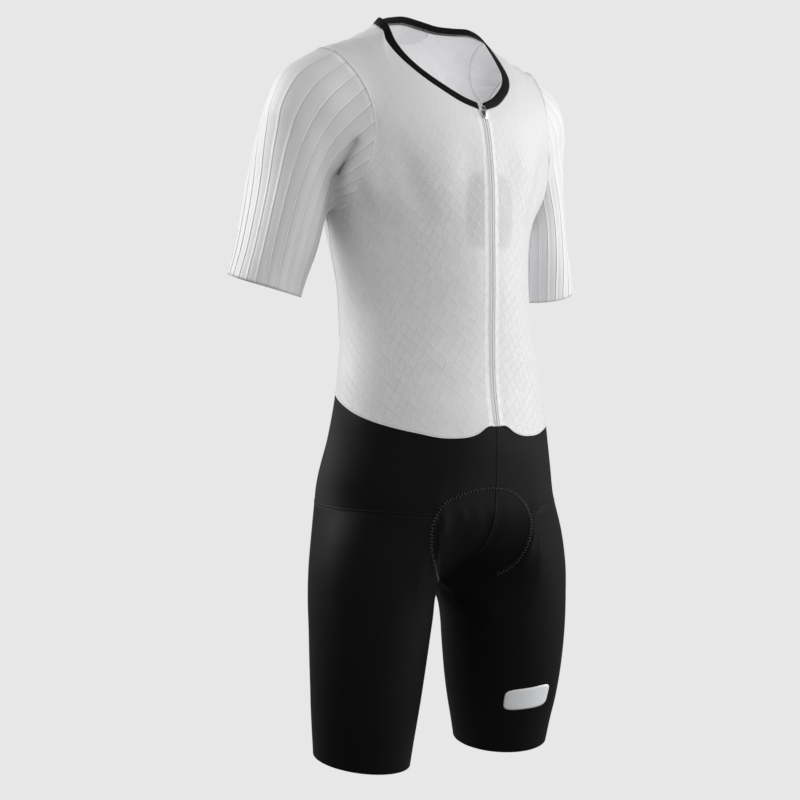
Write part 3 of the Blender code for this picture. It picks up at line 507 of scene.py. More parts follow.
def arm(x, y, z):
    """Distance to the left arm, with the shoulder's ball on top."""
    middle_x, middle_y, wide, deep = np.moveaxis(along(ARM, z), -1, 0)
    shape = oval(x - middle_x, y - middle_y, wide, deep)
    shape = cut(shape, (z - DELTOID[2]) * LEVEL["arm"], BLEND["arm"])
    ball = np.sqrt((x - DELTOID[0]) ** 2 + (y - DELTOID[1]) ** 2 + (z - DELTOID[2]) ** 2)
    return joined(shape, ball - DELTOID_RADIUS, BLEND["arm"])


def figure(p):
    """Distance from the figure's surface, near enough; negative inside."""
    x, y, z = np.abs(p[..., 0]), p[..., 1], p[..., 2]
    neck = np.hypot(x, y - NECK_CENTRE + NECK_LEAN * z) - NECK_RADIUS
    neck = cut(neck, NECK_FOOT - z, BLEND["neck_foot"])
    high = np.clip((z - ARMPIT["height"]) / ARMPIT["over"], 0, 1)
    armpit = ARMPIT["blend"] + ARMPIT["more"] * high
    body = joined(trunk(x, y, z), leg(x, y, z), BLEND["leg"])
    body = joined(body, arm(x, y, z), armpit)
    return joined(body, neck, BLEND["neck"])


def steepest(p, step=5e-4):
    """Rise of the distance along each axis."""
    rise = np.empty_like(p)
    for axis in range(3):
        shift = np.zeros(3)
        shift[axis] = step
        rise[..., axis] = (figure(p + shift) - figure(p - shift)) / (2 * step)
    return rise


def outward(p):
    """Unit directions straight out of the figure."""
    rise = steepest(p)
    return rise / np.maximum(np.linalg.norm(rise, axis=-1, keepdims=True), 1e-9)


def onto_figure(p, slack=0.0, rounds=10):
    """Points moved out to the figure's surface, or in until they are slack above it."""
    p = np.array(p, float)
    for _ in range(rounds):
        away = figure(p)
        away = np.where(away > 0, np.maximum(away - slack, 0), away)
        rise = steepest(p)
        step = rise * (away / np.maximum((rise ** 2).sum(-1), 0.1))[..., None]
        length = np.linalg.norm(step, axis=-1, keepdims=True)
        p -= step * np.minimum(1, 0.015 / np.maximum(length, 1e-9))
    return p


def around_trunk(angle, height):
    """Points of the figure at angles from the centre front, by halving along level rays."""
    angle, height = np.radians(angle), np.asarray(height, float)
    centre = along(TRUNK, height)[..., 3]
    ray = np.stack([np.sin(angle), -np.cos(angle), 0 * angle], -1)
    middle = np.stack([0 * height, centre, height], -1)
    near, far = np.zeros_like(height), np.full_like(height, 0.20)
    for _ in range(30):
        half = (near + far) / 2
        inside = figure(middle + ray * half[..., None]) < 0
        near, far = np.where(inside, half, near), np.where(inside, far, half)
    return middle + ray * near[..., None]


def curve(keys, dense=200):
    """A smooth curve through key points."""
    keys = np.asarray(keys, float)
    length = np.r_[0, np.cumsum(np.linalg.norm(np.diff(keys, axis=0), axis=1) ** 0.5)]
    return along(np.c_[length, keys], np.linspace(0, length[-1], dense))


def run_length(line):
    """Distance run along a line of points."""
    return np.r_[0, np.cumsum(np.linalg.norm(np.diff(line, axis=0), axis=1))]


def read_off(values, length, at):
    """Points or directions along a line, at distances run."""
    return np.stack([np.interp(at, length, values[:, axis]) for axis in range(3)], -1)


def evenly(points, steps):
    """A line's points again, at equal steps."""
    length = run_length(points)
    return read_off(points, length, np.linspace(0, length[-1], steps + 1))


def seam(keys, steps):
    """A seam on the figure through key points, in equal steps."""
    return onto_figure(evenly(onto_figure(curve(keys)), steps))


def patch(bottom, top, left, right):
    """A grid between four edges: columns run from bottom to top, rows from left to right."""
    s = np.linspace(0, 1, len(bottom))[:, None, None]
    t = np.linspace(0, 1, len(left))[None, :, None]
    corners = (1 - s) * (1 - t) * bottom[0] + s * (1 - t) * bottom[-1]
    corners = corners + (1 - s) * t * top[0] + s * t * top[-1]
    return (1 - t) * bottom[:, None] + t * top[:, None] + (1 - s) * left + s * right - corners


def normals(grid, ring=False):
    """Unit normals of a grid at its points, facing out of the body."""
    run = np.roll(grid, -1, 0) - np.roll(grid, 1, 0) if ring else np.gradient(grid, axis=0)
    out = np.cross(run, np.gradient(grid, axis=1))
    out /= np.linalg.norm(out, axis=-1, keepdims=True)
    return out * np.sign((out * outward(grid)).sum())


def settle(grid, ring=False):
    """Cloth pulled tight: inner points are smoothed so that the cells even out and can't fold,
    then moved out to the figure."""
    grid = grid.copy()
    for _ in range(SETTLE_ROUNDS):
        whole = np.concatenate([grid[-1:], grid, grid[:1]]) if ring else grid
        ahead, behind = whole[2:, 1:-1], whole[:-2, 1:-1]
        above, below = whole[1:-1, 2:], whole[1:-1, :-2]
        across = (whole[2:, 2:] - whole[2:, :-2] - whole[:-2, 2:] + whole[:-2, :-2]) / 2
        run, rise = ahead - behind, above - below
        run_run, rise_rise, run_rise = ((a * b).sum(-1, keepdims=True)
                                        for a, b in ((run, run), (rise, rise), (run, rise)))
        mean = rise_rise * (ahead + behind) + run_run * (above + below) - run_rise * across
        mean /= 2 * (run_run + rise_rise)
        inner = np.s_[:, 1:-1] if ring else np.s_[1:-1, 1:-1]
        grid[inner] = onto_figure(grid[inner] + (mean - grid[inner]) * SETTLE_STEP, SLACK, 3)
    return grid


def mirrored(points):
    """The same on the body's other side."""
    return points * np.array((-1.0, 1.0, 1.0))


def both_halves(values):
    """A row or grid that ends in the middle of the body, with its mirrored half after it."""
    return np.concatenate([values, mirrored(values)[:-1][::-1]])


def seams():
    """The seams that the panels share, each in the steps that both of its panels use."""
    lines = {"waist": around_trunk(WAIST[:, 0], WAIST[:, 1])}
    ring = evenly(curve(ARMHOLE, 400), ARMHOLE_STEPS)[:-1]
    for _ in range(ARMHOLE_ROUNDS):
        ring = (np.roll(ring, 1, 0) + 2 * ring + np.roll(ring, -1, 0)) / 4
        ring = onto_figure(ring, ARMHOLE_SLACK, 3)
    lines["armhole"] = np.vstack([ring, ring[:1]])
    neck = onto_figure(curve(NECKLINE))
    length = run_length(neck)
    corner = np.searchsorted(length, NECK_SHARE * length[-1])
    lines["neck_front"] = onto_figure(evenly(neck[:corner + 1], NECK_COLUMNS))
    lines["neck_back"] = onto_figure(evenly(neck[corner:], BACK_NECK_COLUMNS))
    steps = FRONT_COLUMNS - NECK_COLUMNS
    ends = lines["neck_front"][-1], ring[ARMHOLE_FRONT]
    lines["shoulder"] = seam([ends[0], *SHOULDER_SEAM, ends[1]], steps)
    side = around_trunk(SIDE[:, 0], SIDE[:, 1])
    lines["side"] = seam([lines["waist"][FRONT_COLUMNS], *side, ring[0]], SIDE_ROWS)
    hip_steps = len(WAIST) - 1 - GROIN_STEPS
    angles = np.linspace(HIP[0, 0], HIP[-1, 0], hip_steps + 1)
    lines["hip"] = around_trunk(angles, along(HIP, angles)[:, 0])
    lines["groin"] = seam([*GROIN, lines["hip"][0]], GROIN_STEPS)
    lines["belly"] = seam([lines["waist"][0], *BELLY_LINE], YOKE_ROWS)
    lines["loin"] = seam([lines["waist"][-1], lines["hip"][-1]], YOKE_ROWS)
    lines["seat"] = seam([lines["hip"][-1], *SEAT_LINE], SEAT_STEPS)
    return lines


def front_grid(lines):
    """Left front: centre front, waist, side seam and armhole, shoulder seam and neckline."""
    start = around_trunk(2.0, -0.488)
    start[0] = ZIP_HALF
    bottom = np.vstack([onto_figure(start), lines["waist"][1:FRONT_COLUMNS + 1]])
    top = np.vstack([lines["neck_front"], lines["shoulder"][1:]])
    outer = np.vstack([lines["side"], lines["armhole"][1:ARMHOLE_FRONT + 1]])
    centre = seam([bottom[0], *CHEST_LINE, top[0]], len(outer) - 1)
    centre[:, 0] = ZIP_HALF
    return settle(patch(bottom, top, centre, outer))


def back_grid(lines):
    """Back, from the left side to the right."""
    outer = np.vstack([lines["side"], lines["armhole"][::-1][1:ARMHOLE_STEPS - ARMHOLE_FRONT + 1],
                       lines["shoulder"][::-1][1:]])
    bottom = both_halves(lines["waist"][FRONT_COLUMNS:])
    top = both_halves(lines["neck_back"])
    return settle(patch(bottom, top, outer, mirrored(outer)))


def yoke_grid(lines):
    """Left hip piece, from the centre front seam round to the centre back."""
    bottom = np.vstack([lines["groin"], lines["hip"][1:]])
    return settle(patch(bottom, lines["waist"], lines["belly"][::-1], lines["loin"][::-1]))


def leg_grid(lines):
    """Left leg, rings from the hem up to the groin, hip and seat seams."""
    top = np.vstack([lines["groin"], lines["hip"][1:], lines["seat"][1:-1]])
    turn = np.linspace(0, 2 * math.pi, len(top), endpoint=False)
    x = HEM["x"] - HEM["radius"] * np.cos(turn)
    y = HEM["y"] - HEM["radius"] * np.sin(turn)
    z = HEM["height"] + HEM["lean_y"] * (y - HEM["y"]) + HEM["lean_x"] * (x - HEM["x"])
    hem = onto_figure(np.stack([x, y, z], -1))
    t = np.linspace(0, 1, LEG_ROWS + 1)[None, :, None]
    return settle((1 - t) * hem[:, None] + t * top[:, None], ring=True)


def sleeve_grid(lines):
    """Left sleeve, rings from the cuff up to the armhole."""
    top = lines["armhole"][:-1]
    turn = np.linspace(0, 2 * math.pi, len(top), endpoint=False) - CUFF["start"]
    x = CUFF["x"] - CUFF["half_width"] * np.cos(turn)
    y = CUFF["y"] - CUFF["half_depth"] * np.sin(turn)
    z = CUFF["height"] + CUFF["lean_y"] * (y - CUFF["y"]) + CUFF["lean_x"] * (x - CUFF["x"])
    cuff = onto_figure(np.stack([x, y, z], -1))
    t = np.linspace(0, 1, SLEEVE_ROWS + 1)[None, :, None]
    return settle((1 - t) * cuff[:, None] + t * top[:, None], ring=True)


def shared_normals(grids):
    """Normals of every panel, averaged with the neighbours' along the seams that they share."""
    def places(grid):
        return map(tuple, np.round(grid.reshape(-1, 3) / SAME_PLACE))

    sides = []
    for name, grid in grids.items():
        out = normals(grid, name in RINGS)
        sides += [(name, grid, out), (None, mirrored(grid), mirrored(out))]
    total = {}
    for _, grid, out in sides:
        for place, lean in zip(places(grid), out.reshape(-1, 3)):
            total[place] = total.get(place, 0) + lean
    shared = {}
    for name, grid, out in sides:
        if name:
            sums = np.array([total[place] for place in places(grid)]).reshape(grid.shape)
            shared[name] = sums / np.linalg.norm(sums, axis=-1, keepdims=True)
    return shared


def collar_grid(lines):
    """Left half of the neck binding, from the centre front to the centre back."""
    line = np.vstack([lines["neck_front"], lines["neck_back"][1:]])
    run = np.gradient(line, axis=0)
    run[-1] = (-1.0, 0.0, 0.0)
    rise = np.cross(outward(line), run)
    rise /= np.linalg.norm(rise, axis=-1, keepdims=True)
    steps = np.array((0.0, 0.5, 1.0))[None, :, None] * COLLAR_RISE
    strip = onto_figure(line[:, None] + rise[:, None] * steps, COLLAR_RISE / 10)
    strip[0, :, 0] = ZIP_HALF
    strip[-1, :, 0] = 0.0
    return strip


def pad_grid(lines, grids):
    """Seat pad, from the right edge to the left, front to back under the crotch."""
    middle = np.vstack([lines["belly"][3:], lines["seat"][::-1][1:-1]])
    half_front = np.array([(0.0, -0.116, -0.561), PAD_EDGE[0]])
    half_back = np.array([(0.0, 0.117, -0.620), PAD_EDGE[-1]])
    centre = seam([half_front[0], *middle[1:], half_back[0]], PAD_ROWS)
    edge = seam(PAD_EDGE, PAD_ROWS)
    half = settle(patch(seam(half_front, PAD_COLUMNS), seam(half_back, PAD_COLUMNS), centre, edge))
    return onto_cloth(np.concatenate([mirrored(half)[::-1], half[1:]])[::-1], grids)


def cells(place):
    """The four corners of each cell of a grid."""
    return np.stack([place[:-1, :-1], place[1:, :-1], place[1:, 1:], place[:-1, 1:]], -1).reshape(-1, 4)


def search_tree(surfaces):
    """A search tree of surfaces on both sides of the body; each is a grid, and whether it is a ring."""
    corners, faces = [], []
    for grid, ring in surfaces:
        for points in (grid, mirrored(grid)):
            start = sum(map(len, corners))
            place = start + np.arange(points.shape[0] * points.shape[1]).reshape(points.shape[:2])
            if ring:
                place = np.vstack([place, place[:1]])
            faces += cells(place).tolist()
            corners.append(points.reshape(-1, 3))
    return BVHTree.FromPolygons(np.vstack(corners).tolist(), faces)


def onto_cloth(points, grids):
    """Points moved to the nearest of the shorts' panels."""
    tree = search_tree([(grids["yoke"], False), (grids["leg"], True)])
    near = [tree.find_nearest(p)[0] for p in points.reshape(-1, 3).tolist()]
    return np.array(near).reshape(points.shape)


# How finely the panels are cut
PANEL_PARTS = 8         # fine steps in each step of a bodice or shorts panel
SLEEVE_PARTS = 5        # along a sleeve
SEAM_PARTS = 12         # in each step of a seam's ridge or stitches
PAD_PARTS = 6           # in each step of the seat pad
TAB_POINTS = (25, 17)   # across the bonded tab and up it
COLLAR_POINTS = {"width": 13, "front": 60, "back": 90}
FACING_POINTS = 15      # down the neck facing
LIP_POINTS = 9          # round the zip's lip
OUTLINE_POINTS = 160    # round the pad's outline
RIBS = 24               # round a sleeve
RIB_PROFILE = np.array([
    # share of the spacing, height
    (0.000, 0.00000),
    (0.200, 0.00020),
    (0.440, 0.00028),
    (0.680, 0.00018),
    (0.830, -0.00010),
    (0.872, -0.00035),
    (0.900, -0.00015),
    (0.925, 0.00050),
    (0.960, 0.00058),
    (0.990, 0.00018),
])
RIB_FADE = 0.80         # share of a rib's height that is lost at the armhole


def key(point):
    """A seam point's place, as a key that both of its panels give."""
    return tuple(np.round(point / SAME_SEAM).astype(int))


def seam_steps(lines):
    """Ends and slopes of each step of each seam, both ways round and on both sides of the body."""
    steps = {}
    for name, line in lines.items():
        whole = np.vstack([line[-2], line, line[1]]) if name == "armhole" else line
        slope = np.gradient(whole, axis=0)
        slope = slope[1:-1] if name == "armhole" else slope
        for k in range(len(line) - 1):
            step = np.array((line[k], line[k + 1], slope[k], slope[k + 1]))
            back = np.array((step[1], step[0], -step[3], -step[2]))
            for way in (step, back, mirrored(step), mirrored(back)):
                steps[key(way[0]), key(way[1])] = way
    return steps


def on_step(step, t):
    """Points at shares t of one step of a seam."""
    a, b, slope_a, slope_b = step
    t = np.asarray(t)[:, None]
    rise = t * t * (3 - 2 * t)
    return (1 - rise) * a + rise * b + t * (1 - t) * ((1 - t) * slope_a - t * slope_b)


def between(values, at, ring=False):
    """Values of a grid at places along its first axis, on smooth curves through its points."""
    shape = values.shape[1:]
    if ring:
        values = np.concatenate([values[-3:], values, values[:4]])
        at = at + 3
    table = np.c_[np.arange(len(values)), values.reshape(len(values), -1)]
    return along(table.astype(float), np.asarray(at, float)).reshape(len(at), *shape)


def finer(values, rows, columns, ring=False):
    """Values of a grid at places along both of its axes."""
    part = between(values, rows, ring)
    return np.swapaxes(between(np.swapaxes(part, 0, 1), columns), 0, 1)


def seamed(fine, grid, rows, columns, steps, ring=False):
    """A finer grid whose edges follow the seams exactly, eased over its two outer cells."""
    fine = fine.copy()
    edges = [(1, 0), (1, -1)] if ring else [(1, 0), (1, -1), (0, 0), (0, -1)]
    for axis, end in edges:
        at, depth = (rows, columns) if axis == 1 else (columns, rows)
        line = np.take(grid, end, axis)
        line = np.vstack([line, line[:1]]) if ring else line
        now = np.take(fine, end, axis)
        target = now.copy()
        cell = np.clip(np.floor(at + 1e-9).astype(int), 0, len(line) - 2)
        for k in range(len(line) - 1):
            step = steps.get((key(line[k]), key(line[k + 1])))
            if step is not None:
                here = cell == k
                target[here] = on_step(step, at[here] - k)
        ease = np.clip(1 - np.abs(depth - depth[end]) / 2, 0, 1)
        shift = target - now
        if axis == 1:
            fine += shift[:, None] * ease[None, :, None]
        else:
            fine += shift[None] * ease[:, None, None]
    return fine


def lengths(grid, axis):
    """Distance run along one axis of a grid."""
    step = np.linalg.norm(np.diff(grid, axis=axis), axis=-1)
    start = np.zeros_like(np.take(step, [0], axis))
    return np.cumsum(np.concatenate([start, step], axis), axis)


def unit(v):
    """Directions of length 1."""
    return v / np.maximum(np.linalg.norm(v, axis=-1, keepdims=True), 1e-12)


def add_mesh(name, points, faces, uv, finish):
    """An object from points, faces and the UV of each corner."""
    mesh = bpy.data.meshes.new(name)
    mesh.from_pydata(points.tolist(), [], faces)
    layer = mesh.uv_layers.new(name="cut")
    layer.data.foreach_set("uv", np.asarray(uv, np.float32).ravel())
    mesh.materials.append(finish)
    mesh.shade_smooth()
    made = bpy.data.objects.new(name, mesh)
    bpy.context.scene.collection.objects.link(made)
    return made


def shell(name, outer, inner, uv, finish, ring=False, flip=False):
    """A closed wall between two matching grids of points; uv has one more row on a ring."""
    rows, columns = outer.shape[:2]
    count = rows * columns
    place = np.arange(count).reshape(rows, columns)
    corner = np.arange(uv.shape[0] * columns).reshape(uv.shape[0], columns)
    if ring:
        place = np.vstack([place, place[:1]])

    def rim(of, under):
        sides = [np.stack([of[1:, 0], of[:-1, 0], under[:-1, 0], under[1:, 0]], -1),
                 np.stack([of[:-1, -1], of[1:, -1], under[1:, -1], under[:-1, -1]], -1)]
        if not ring:
            sides += [np.stack([of[0, :-1], of[0, 1:], under[0, 1:], under[0, :-1]], -1),
                      np.stack([of[-1, 1:], of[-1, :-1], under[-1, :-1], under[-1, 1:]], -1)]
        return np.concatenate(sides)

    points = np.concatenate([outer.reshape(-1, 3), inner.reshape(-1, 3)])
    top = cells(place)
    faces = np.concatenate([top, top[:, ::-1] + count, rim(place, place + count)])
    maps = cells(corner)
    maps = np.concatenate([maps, maps[:, ::-1], rim(corner, corner)])
    a, b, c, d = (points[top[:, k]] for k in range(4))
    facing = (np.cross(c - a, d - b) * (a - points[top[:, 0] + count])).sum()
    if facing < 0:
        faces, maps = faces[:, ::-1], maps[:, ::-1]
    if flip:
        points = mirrored(points)
        faces, maps = faces[:, ::-1], maps[:, ::-1]
    return add_mesh(name, points, faces.tolist(), uv.reshape(-1, 2)[maps.ravel()], finish)


def flat_map(points):
    """Places on the cut of a grid: the distance run along each of its axes."""
    return np.stack([lengths(points, 0), lengths(points, 1)], -1)


def flat_size(grid, ring=False):
    """Width and length of a panel's cut, along its longest row and column, and its area."""
    whole = np.concatenate([grid, grid[:1]]) if ring else grid
    a, b, c, d = whole[:-1, :-1], whole[1:, :-1], whole[1:, 1:], whole[:-1, 1:]
    twice = np.linalg.norm(np.cross(b - a, d - a), axis=-1) + np.linalg.norm(np.cross(d - c, b - c), axis=-1)
    width = float(lengths(whole, 0)[-1].max())
    length = float(lengths(whole, 1)[:, -1].max())
    return width, length, float(twice.sum() / 2)


def declare(piece, nodes, sheet=None, body="garment"):
    """Parents a piece to its body and hides the frame's nodes that it stands for; its cut's area is worked
    out from sheet but not kept.
    """
    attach(piece, body)
    if nodes:
        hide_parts(*nodes)
    if sheet:
        width, length, area = sheet
        area = max(min(area, width * length), LEAST_AREA * width * length)
    return piece


class Value:
    """A number or a colour that runs through a material's nodes."""

    def __init__(self, tree, socket):
        self.tree = tree
        self.socket = socket

    def math(self, operation, *others, clamp=False):
        """One step of arithmetic."""
        node = self.tree.nodes.new("ShaderNodeMath")
        node.operation = operation
        node.use_clamp = clamp
        for place, value in enumerate((self, *others)):
            if isinstance(value, Value):
                self.tree.links.new(value.socket, node.inputs[place])
            else:
                node.inputs[place].default_value = value
        return Value(self.tree, node.outputs[0])

    def __add__(self, other):
        return self.math("ADD", other)

    def __sub__(self, other):
        return self.math("SUBTRACT", other)

    def __rsub__(self, other):
        return (self * -1.0).math("ADD", other)

    def __mul__(self, other):
        return self.math("MULTIPLY", other)

    def __truediv__(self, other):
        return self.math("DIVIDE", other)

    __radd__ = __add__
    __rmul__ = __mul__

    def clamped(self):
        """This value, held between 0 and 1."""
        return self.math("MULTIPLY", 1.0, clamp=True)

    def wave(self, pitch):
        """A sine wave along this value, from -1 to 1."""
        return (self * (2 * math.pi / pitch)).math("SINE")

    def line(self, width):
        """1 on thin lines at whole numbers of this value, 0 between them."""
        off = (self.math("FRACT") - 0.5).math("ABSOLUTE")
        return ((off - (0.5 - width)) / (width * 0.6)).clamped()

    def band(self, low, high, soft):
        """1 between low and high, eased over soft."""
        start = ((self - low) / soft).clamped()
        end = ((high - self) / soft).clamped()
        return start * end


class Finish:
    """A material's nodes, with the shader's own settings as constants."""

    def __init__(self, name, colour, roughness, **settings):
        self.made = bpy.data.materials.new(name)
        self.made.use_nodes = True
        self.tree = self.made.node_tree
        self.shader = self.tree.nodes["Principled BSDF"]
        self.shader.inputs["Base Color"].default_value = (*colour, 1.0)
        self.shader.inputs["Roughness"].default_value = roughness
        for socket, value in settings.items():
            self.shader.inputs[socket.replace("_", " ")].default_value = value

    def node(self, kind, settings=(), sockets=(), out=0):
        """One output of a new node, with its settings and inputs."""
        made = self.tree.nodes.new(f"ShaderNode{kind}")
        for setting, value in dict(settings).items():
            setattr(made, setting, value)
        for socket, value in dict(sockets).items():
            if isinstance(value, Value):
                self.tree.links.new(value.socket, made.inputs[socket])
            else:
                made.inputs[socket].default_value = value
        return Value(self.tree, made.outputs[out])

    def split(self, vector):
        """The three numbers of a vector."""
        return [self.node("SeparateXYZ", (), {0: vector}, out) for out in range(3)]

    def cut(self):
        """Across and up on the piece's own cut, in metres."""
        return self.split(self.node("UVMap", {"uv_map": "cut"}))[:2]

    def place(self):
        """The place on the garment, in metres."""
        return self.node("TexCoord", (), (), 3)

    def noise(self, vector, scale, detail=2.0):
        """Soft noise from 0 to 1."""
        return self.node("TexNoise", (), {"Vector": vector, "Scale": scale, "Detail": detail})

    def stretched(self, vector, x, y, z):
        """A vector, scaled along each axis."""
        return self.node("VectorMath", {"operation": "MULTIPLY"}, {0: vector, 1: (x, y, z)})

    def blend(self, share, first, second):
        """One colour over another."""
        made = self.tree.nodes.new("ShaderNodeMix")
        made.data_type = "RGBA"
        for place, value in ((0, share), (6, first), (7, second)):
            if isinstance(value, Value):
                self.tree.links.new(value.socket, made.inputs[place])
            elif place:
                made.inputs[place].default_value = (*value, 1.0)
            else:
                made.inputs[place].default_value = value
        return Value(self.tree, made.outputs[2])

    def feed(self, socket, value):
        """Gives a value to the shader."""
        self.tree.links.new(value.socket, self.shader.inputs[socket])

    def bump(self, height, distance):
        """Relief: height 0 to 1 stands for this distance in metres."""
        made = self.node("Bump", (), {"Height": height, "Distance": distance, "Strength": 1.0})
        self.feed("Normal", made)


def folded(finish, place, base):
    """A colour shaded in the bottoms of the folds, on both sides of the body."""
    x, y, z = finish.split(place)
    here = finish.node("CombineXYZ", (), {0: x.math("ABSOLUTE"), 1: y, 2: z})
    for start, end, width, share in FOLDS:
        run = Vector(end) - Vector(start)
        away = finish.node("VectorMath", {"operation": "SUBTRACT"}, {0: here, 1: start})
        reach = finish.node("VectorMath", {"operation": "DOT_PRODUCT"}, {0: away, 1: run.normalized()}, 1)
        whole = finish.node("VectorMath", {"operation": "DOT_PRODUCT"}, {0: away, 1: away}, 1)
        over = (reach - run.length / 2).math("ABSOLUTE").math("SUBTRACT", run.length / 2).math("MAXIMUM", 0.0)
        off = whole - reach * reach + over * over
        shade = (off * (-1.0 / width ** 2)).math("EXPONENT") * share
        base = finish.blend(shade, base, FOLD_SHADE)
    return base


def knit_relief(across, up, course, wale):
    """Fine loops of a knit, as a height from 0 to 1."""
    columns = across.wave(wale)
    rows = up.wave(course)
    return (columns * rows) * 0.25 + columns * 0.25 + 0.5


def check_knit():
    """Fine semi-sheer white knit with a raised slanting check that fades towards the shoulders, and a painted
    shade over the breastbone.
    """
    finish = Finish("check_knit", (0.79, 0.79, 0.80), 0.55, Sheen_Weight=0.12)
    across, up = finish.cut()
    place = finish.place()
    x, y, z = finish.split(place)
    wobble = finish.noise(finish.stretched(place, 9.0, 9.0, 9.0), 1.0) - 0.5
    falling = across * CHECK_FALL[0] + up * CHECK_FALL[1] + wobble * 0.4
    rising = across * CHECK_RISE[0] + up * CHECK_RISE[1] + wobble * 0.4
    lines = falling.line(CHECK_LINE).math("MAXIMUM", rising.line(CHECK_LINE))
    beside = falling.line(CHECK_BESIDE).math("MAXIMUM", rising.line(CHECK_BESIDE)) - lines
    cell = finish.node("TexWhiteNoise", {"noise_dimensions": "2D"},
                       {"Vector": finish.node("CombineXYZ", (), {0: falling.math("FLOOR"),
                                                                 1: rising.math("FLOOR")})})
    front = (y * -40.0 - 1.0).clamped()
    behind = (y * 30.0 - 1.0).clamped() * 0.8
    fade = ((z * -1.0 - 0.080) / 0.12).math("MAXIMUM", behind).clamped()
    patchy = finish.noise(finish.stretched(place, 14.0, 14.0, 8.0), 1.0)
    shown = fade * (patchy * 0.9 + 0.45)
    knit = knit_relief(across, up, **CHECK_LOOP)
    # mask of the painted shade over the breastbone: a rounded patch round the centre front
    aside = (x / BREASTBONE_SHADE["half"]).math("POWER", 4.0)
    apart = aside + ((z - BREASTBONE_SHADE["height"]) / BREASTBONE_SHADE["rise"]).math("POWER", 4.0)
    hollow = finish.node("MapRange", {"interpolation_type": "SMOOTHSTEP"},
                         {"Value": apart, "From Min": 0.45, "From Max": 1.35, "To Min": 1.0, "To Max": 0.0})
    doubled = across.band(-0.001, FLY_BAND, FLY_EASE)
    tone = cell * fade * 0.14 + patchy * 0.06 + knit * 0.05
    base = finish.blend(tone, (0.70, 0.70, 0.71), (0.93, 0.93, 0.94))
    # painted shade over the breastbone, on the front only and not on the doubled cloth by the zip
    breastbone_shade = hollow * front * (1.0 - doubled) * 0.30
    base = finish.blend(breastbone_shade, base, GREY_SHADE)
    base = finish.blend(beside * shown * 0.16, base, GREY_SHADE)
    base = finish.blend(lines * shown * 0.75, base, (0.94, 0.94, 0.95))
    base = finish.blend(doubled * 0.8 * front, base, (0.88, 0.88, 0.89))
    finish.feed("Base Color", folded(finish, place, base))
    finish.feed("Roughness", 0.52 + patchy * 0.12 - lines * 0.08)
    finish.bump(knit * 0.06 + lines * shown * 0.9 + cell * fade * 0.10, 0.00040)
    return finish.made


def ribbed_knit():
    """Pleated white knit: a painted highlight along each rib's ridge, painted shade in the groove beside it,
    and painted shade across each pleat's band, with a grey of its own for each band.
    """
    finish = Finish("ribbed_knit", (0.80, 0.80, 0.81), 0.58, Sheen_Weight=0.10)
    rib, up = finish.cut()
    share = rib.math("FRACT")
    place = finish.place()
    ridge = share.band(0.905, 0.992, 0.015)
    groove = share.band(0.835, 0.900, 0.02)
    band = finish.node("TexWhiteNoise", {"noise_dimensions": "1D"}, {"W": rib.math("FLOOR")})
    thread = ((rib * 8.0).math("FRACT") - 0.5).math("ABSOLUTE") * 2.0
    rows = up.wave(RIB_COURSE) * 0.5 + 0.5
    patchy = finish.noise(finish.stretched(place, 30.0, 30.0, 6.0), 1.0)
    height = finish.split(place)[2]
    near = ((height * -1.0 - 0.045) / 0.05).math("MAXIMUM", 0.15).clamped()
    # painted shade: each band darkens from one ridge towards the next groove and takes its own painted grey;
    # patchy is the knit's own uneven tone
    base = finish.blend(share * 0.45 + band * 0.25 + patchy * 0.25, (0.85, 0.85, 0.86), (0.66, 0.66, 0.67))
    # painted shade in the groove beside each ridge, weaker towards the shoulder
    base = finish.blend(groove * near * 0.60, base, (0.40, 0.40, 0.41))
    # painted highlight along each ridge, weaker towards the shoulder
    base = finish.blend(ridge * near * 0.9, base, (0.96, 0.96, 0.97))
    finish.feed("Base Color", folded(finish, place, base))
    finish.feed("Roughness", 0.56 + patchy * 0.10)
    finish.bump(thread * 0.35 + rows * 0.30, 0.00012)
    return finish.made


def black_knit():
    """Dense black warp knit with upright wales and a soft sheen."""
    finish = Finish("black_knit", (0.004, 0.004, 0.0045), 0.50, Specular_IOR_Level=0.08)
    across, up = finish.cut()
    place = finish.place()
    wales = across.wave(BLACK_LOOP["wale"]) * 0.5 + 0.5
    courses = up.wave(BLACK_LOOP["course"]) * 0.5 + 0.5
    patchy = finish.noise(finish.stretched(place, 12.0, 12.0, 5.0), 1.0, 3.0)
    base = finish.blend(wales * 0.5 + patchy * 0.5, (0.0018, 0.0018, 0.0021), (0.0056, 0.0056, 0.0062))
    finish.feed("Base Color", base)
    finish.feed("Roughness", 0.46 + patchy * 0.14)
    finish.bump(wales * 0.6 + courses * wales * 0.4, 0.00010)
    return finish.made


def plain_cloth(name, colour, roughness, wale, relief, spread, gloss):
    """A plain knit or woven trim with fine wales and uneven colour."""
    finish = Finish(name, colour, roughness, Specular_IOR_Level=gloss)
    across, up = finish.cut()
    place = finish.place()
    wales = across.wave(wale) * 0.5 + 0.5
    rows = up.wave(wale) * 0.5 + 0.5
    patchy = finish.noise(place, 60.0, 3.0)
    dark = tuple(c * (1 - spread) for c in colour)
    light = tuple(min(1.0, c * (1 + spread)) for c in colour)
    finish.feed("Base Color", finish.blend(wales * rows * 0.5 + patchy * 0.5, dark, light))
    finish.feed("Roughness", roughness - 0.06 + patchy * 0.12)
    finish.bump(wales * rows, relief)
    return finish.made


def small_finish(name, colour, roughness, metallic, scale, relief):
    """Metal, thread, plastic or film: uneven in colour and gloss, with fine relief."""
    finish = Finish(name, colour, roughness, Metallic=metallic)
    place = finish.place()
    grain = finish.noise(place, scale, 4.0)
    dark = tuple(c * 0.82 for c in colour)
    light = tuple(min(1.0, c * 1.12) for c in colour)
    finish.feed("Base Color", finish.blend(grain, dark, light))
    finish.feed("Roughness", grain * 0.16 + (roughness - 0.08))
    finish.bump(grain, relief)
    return finish.made


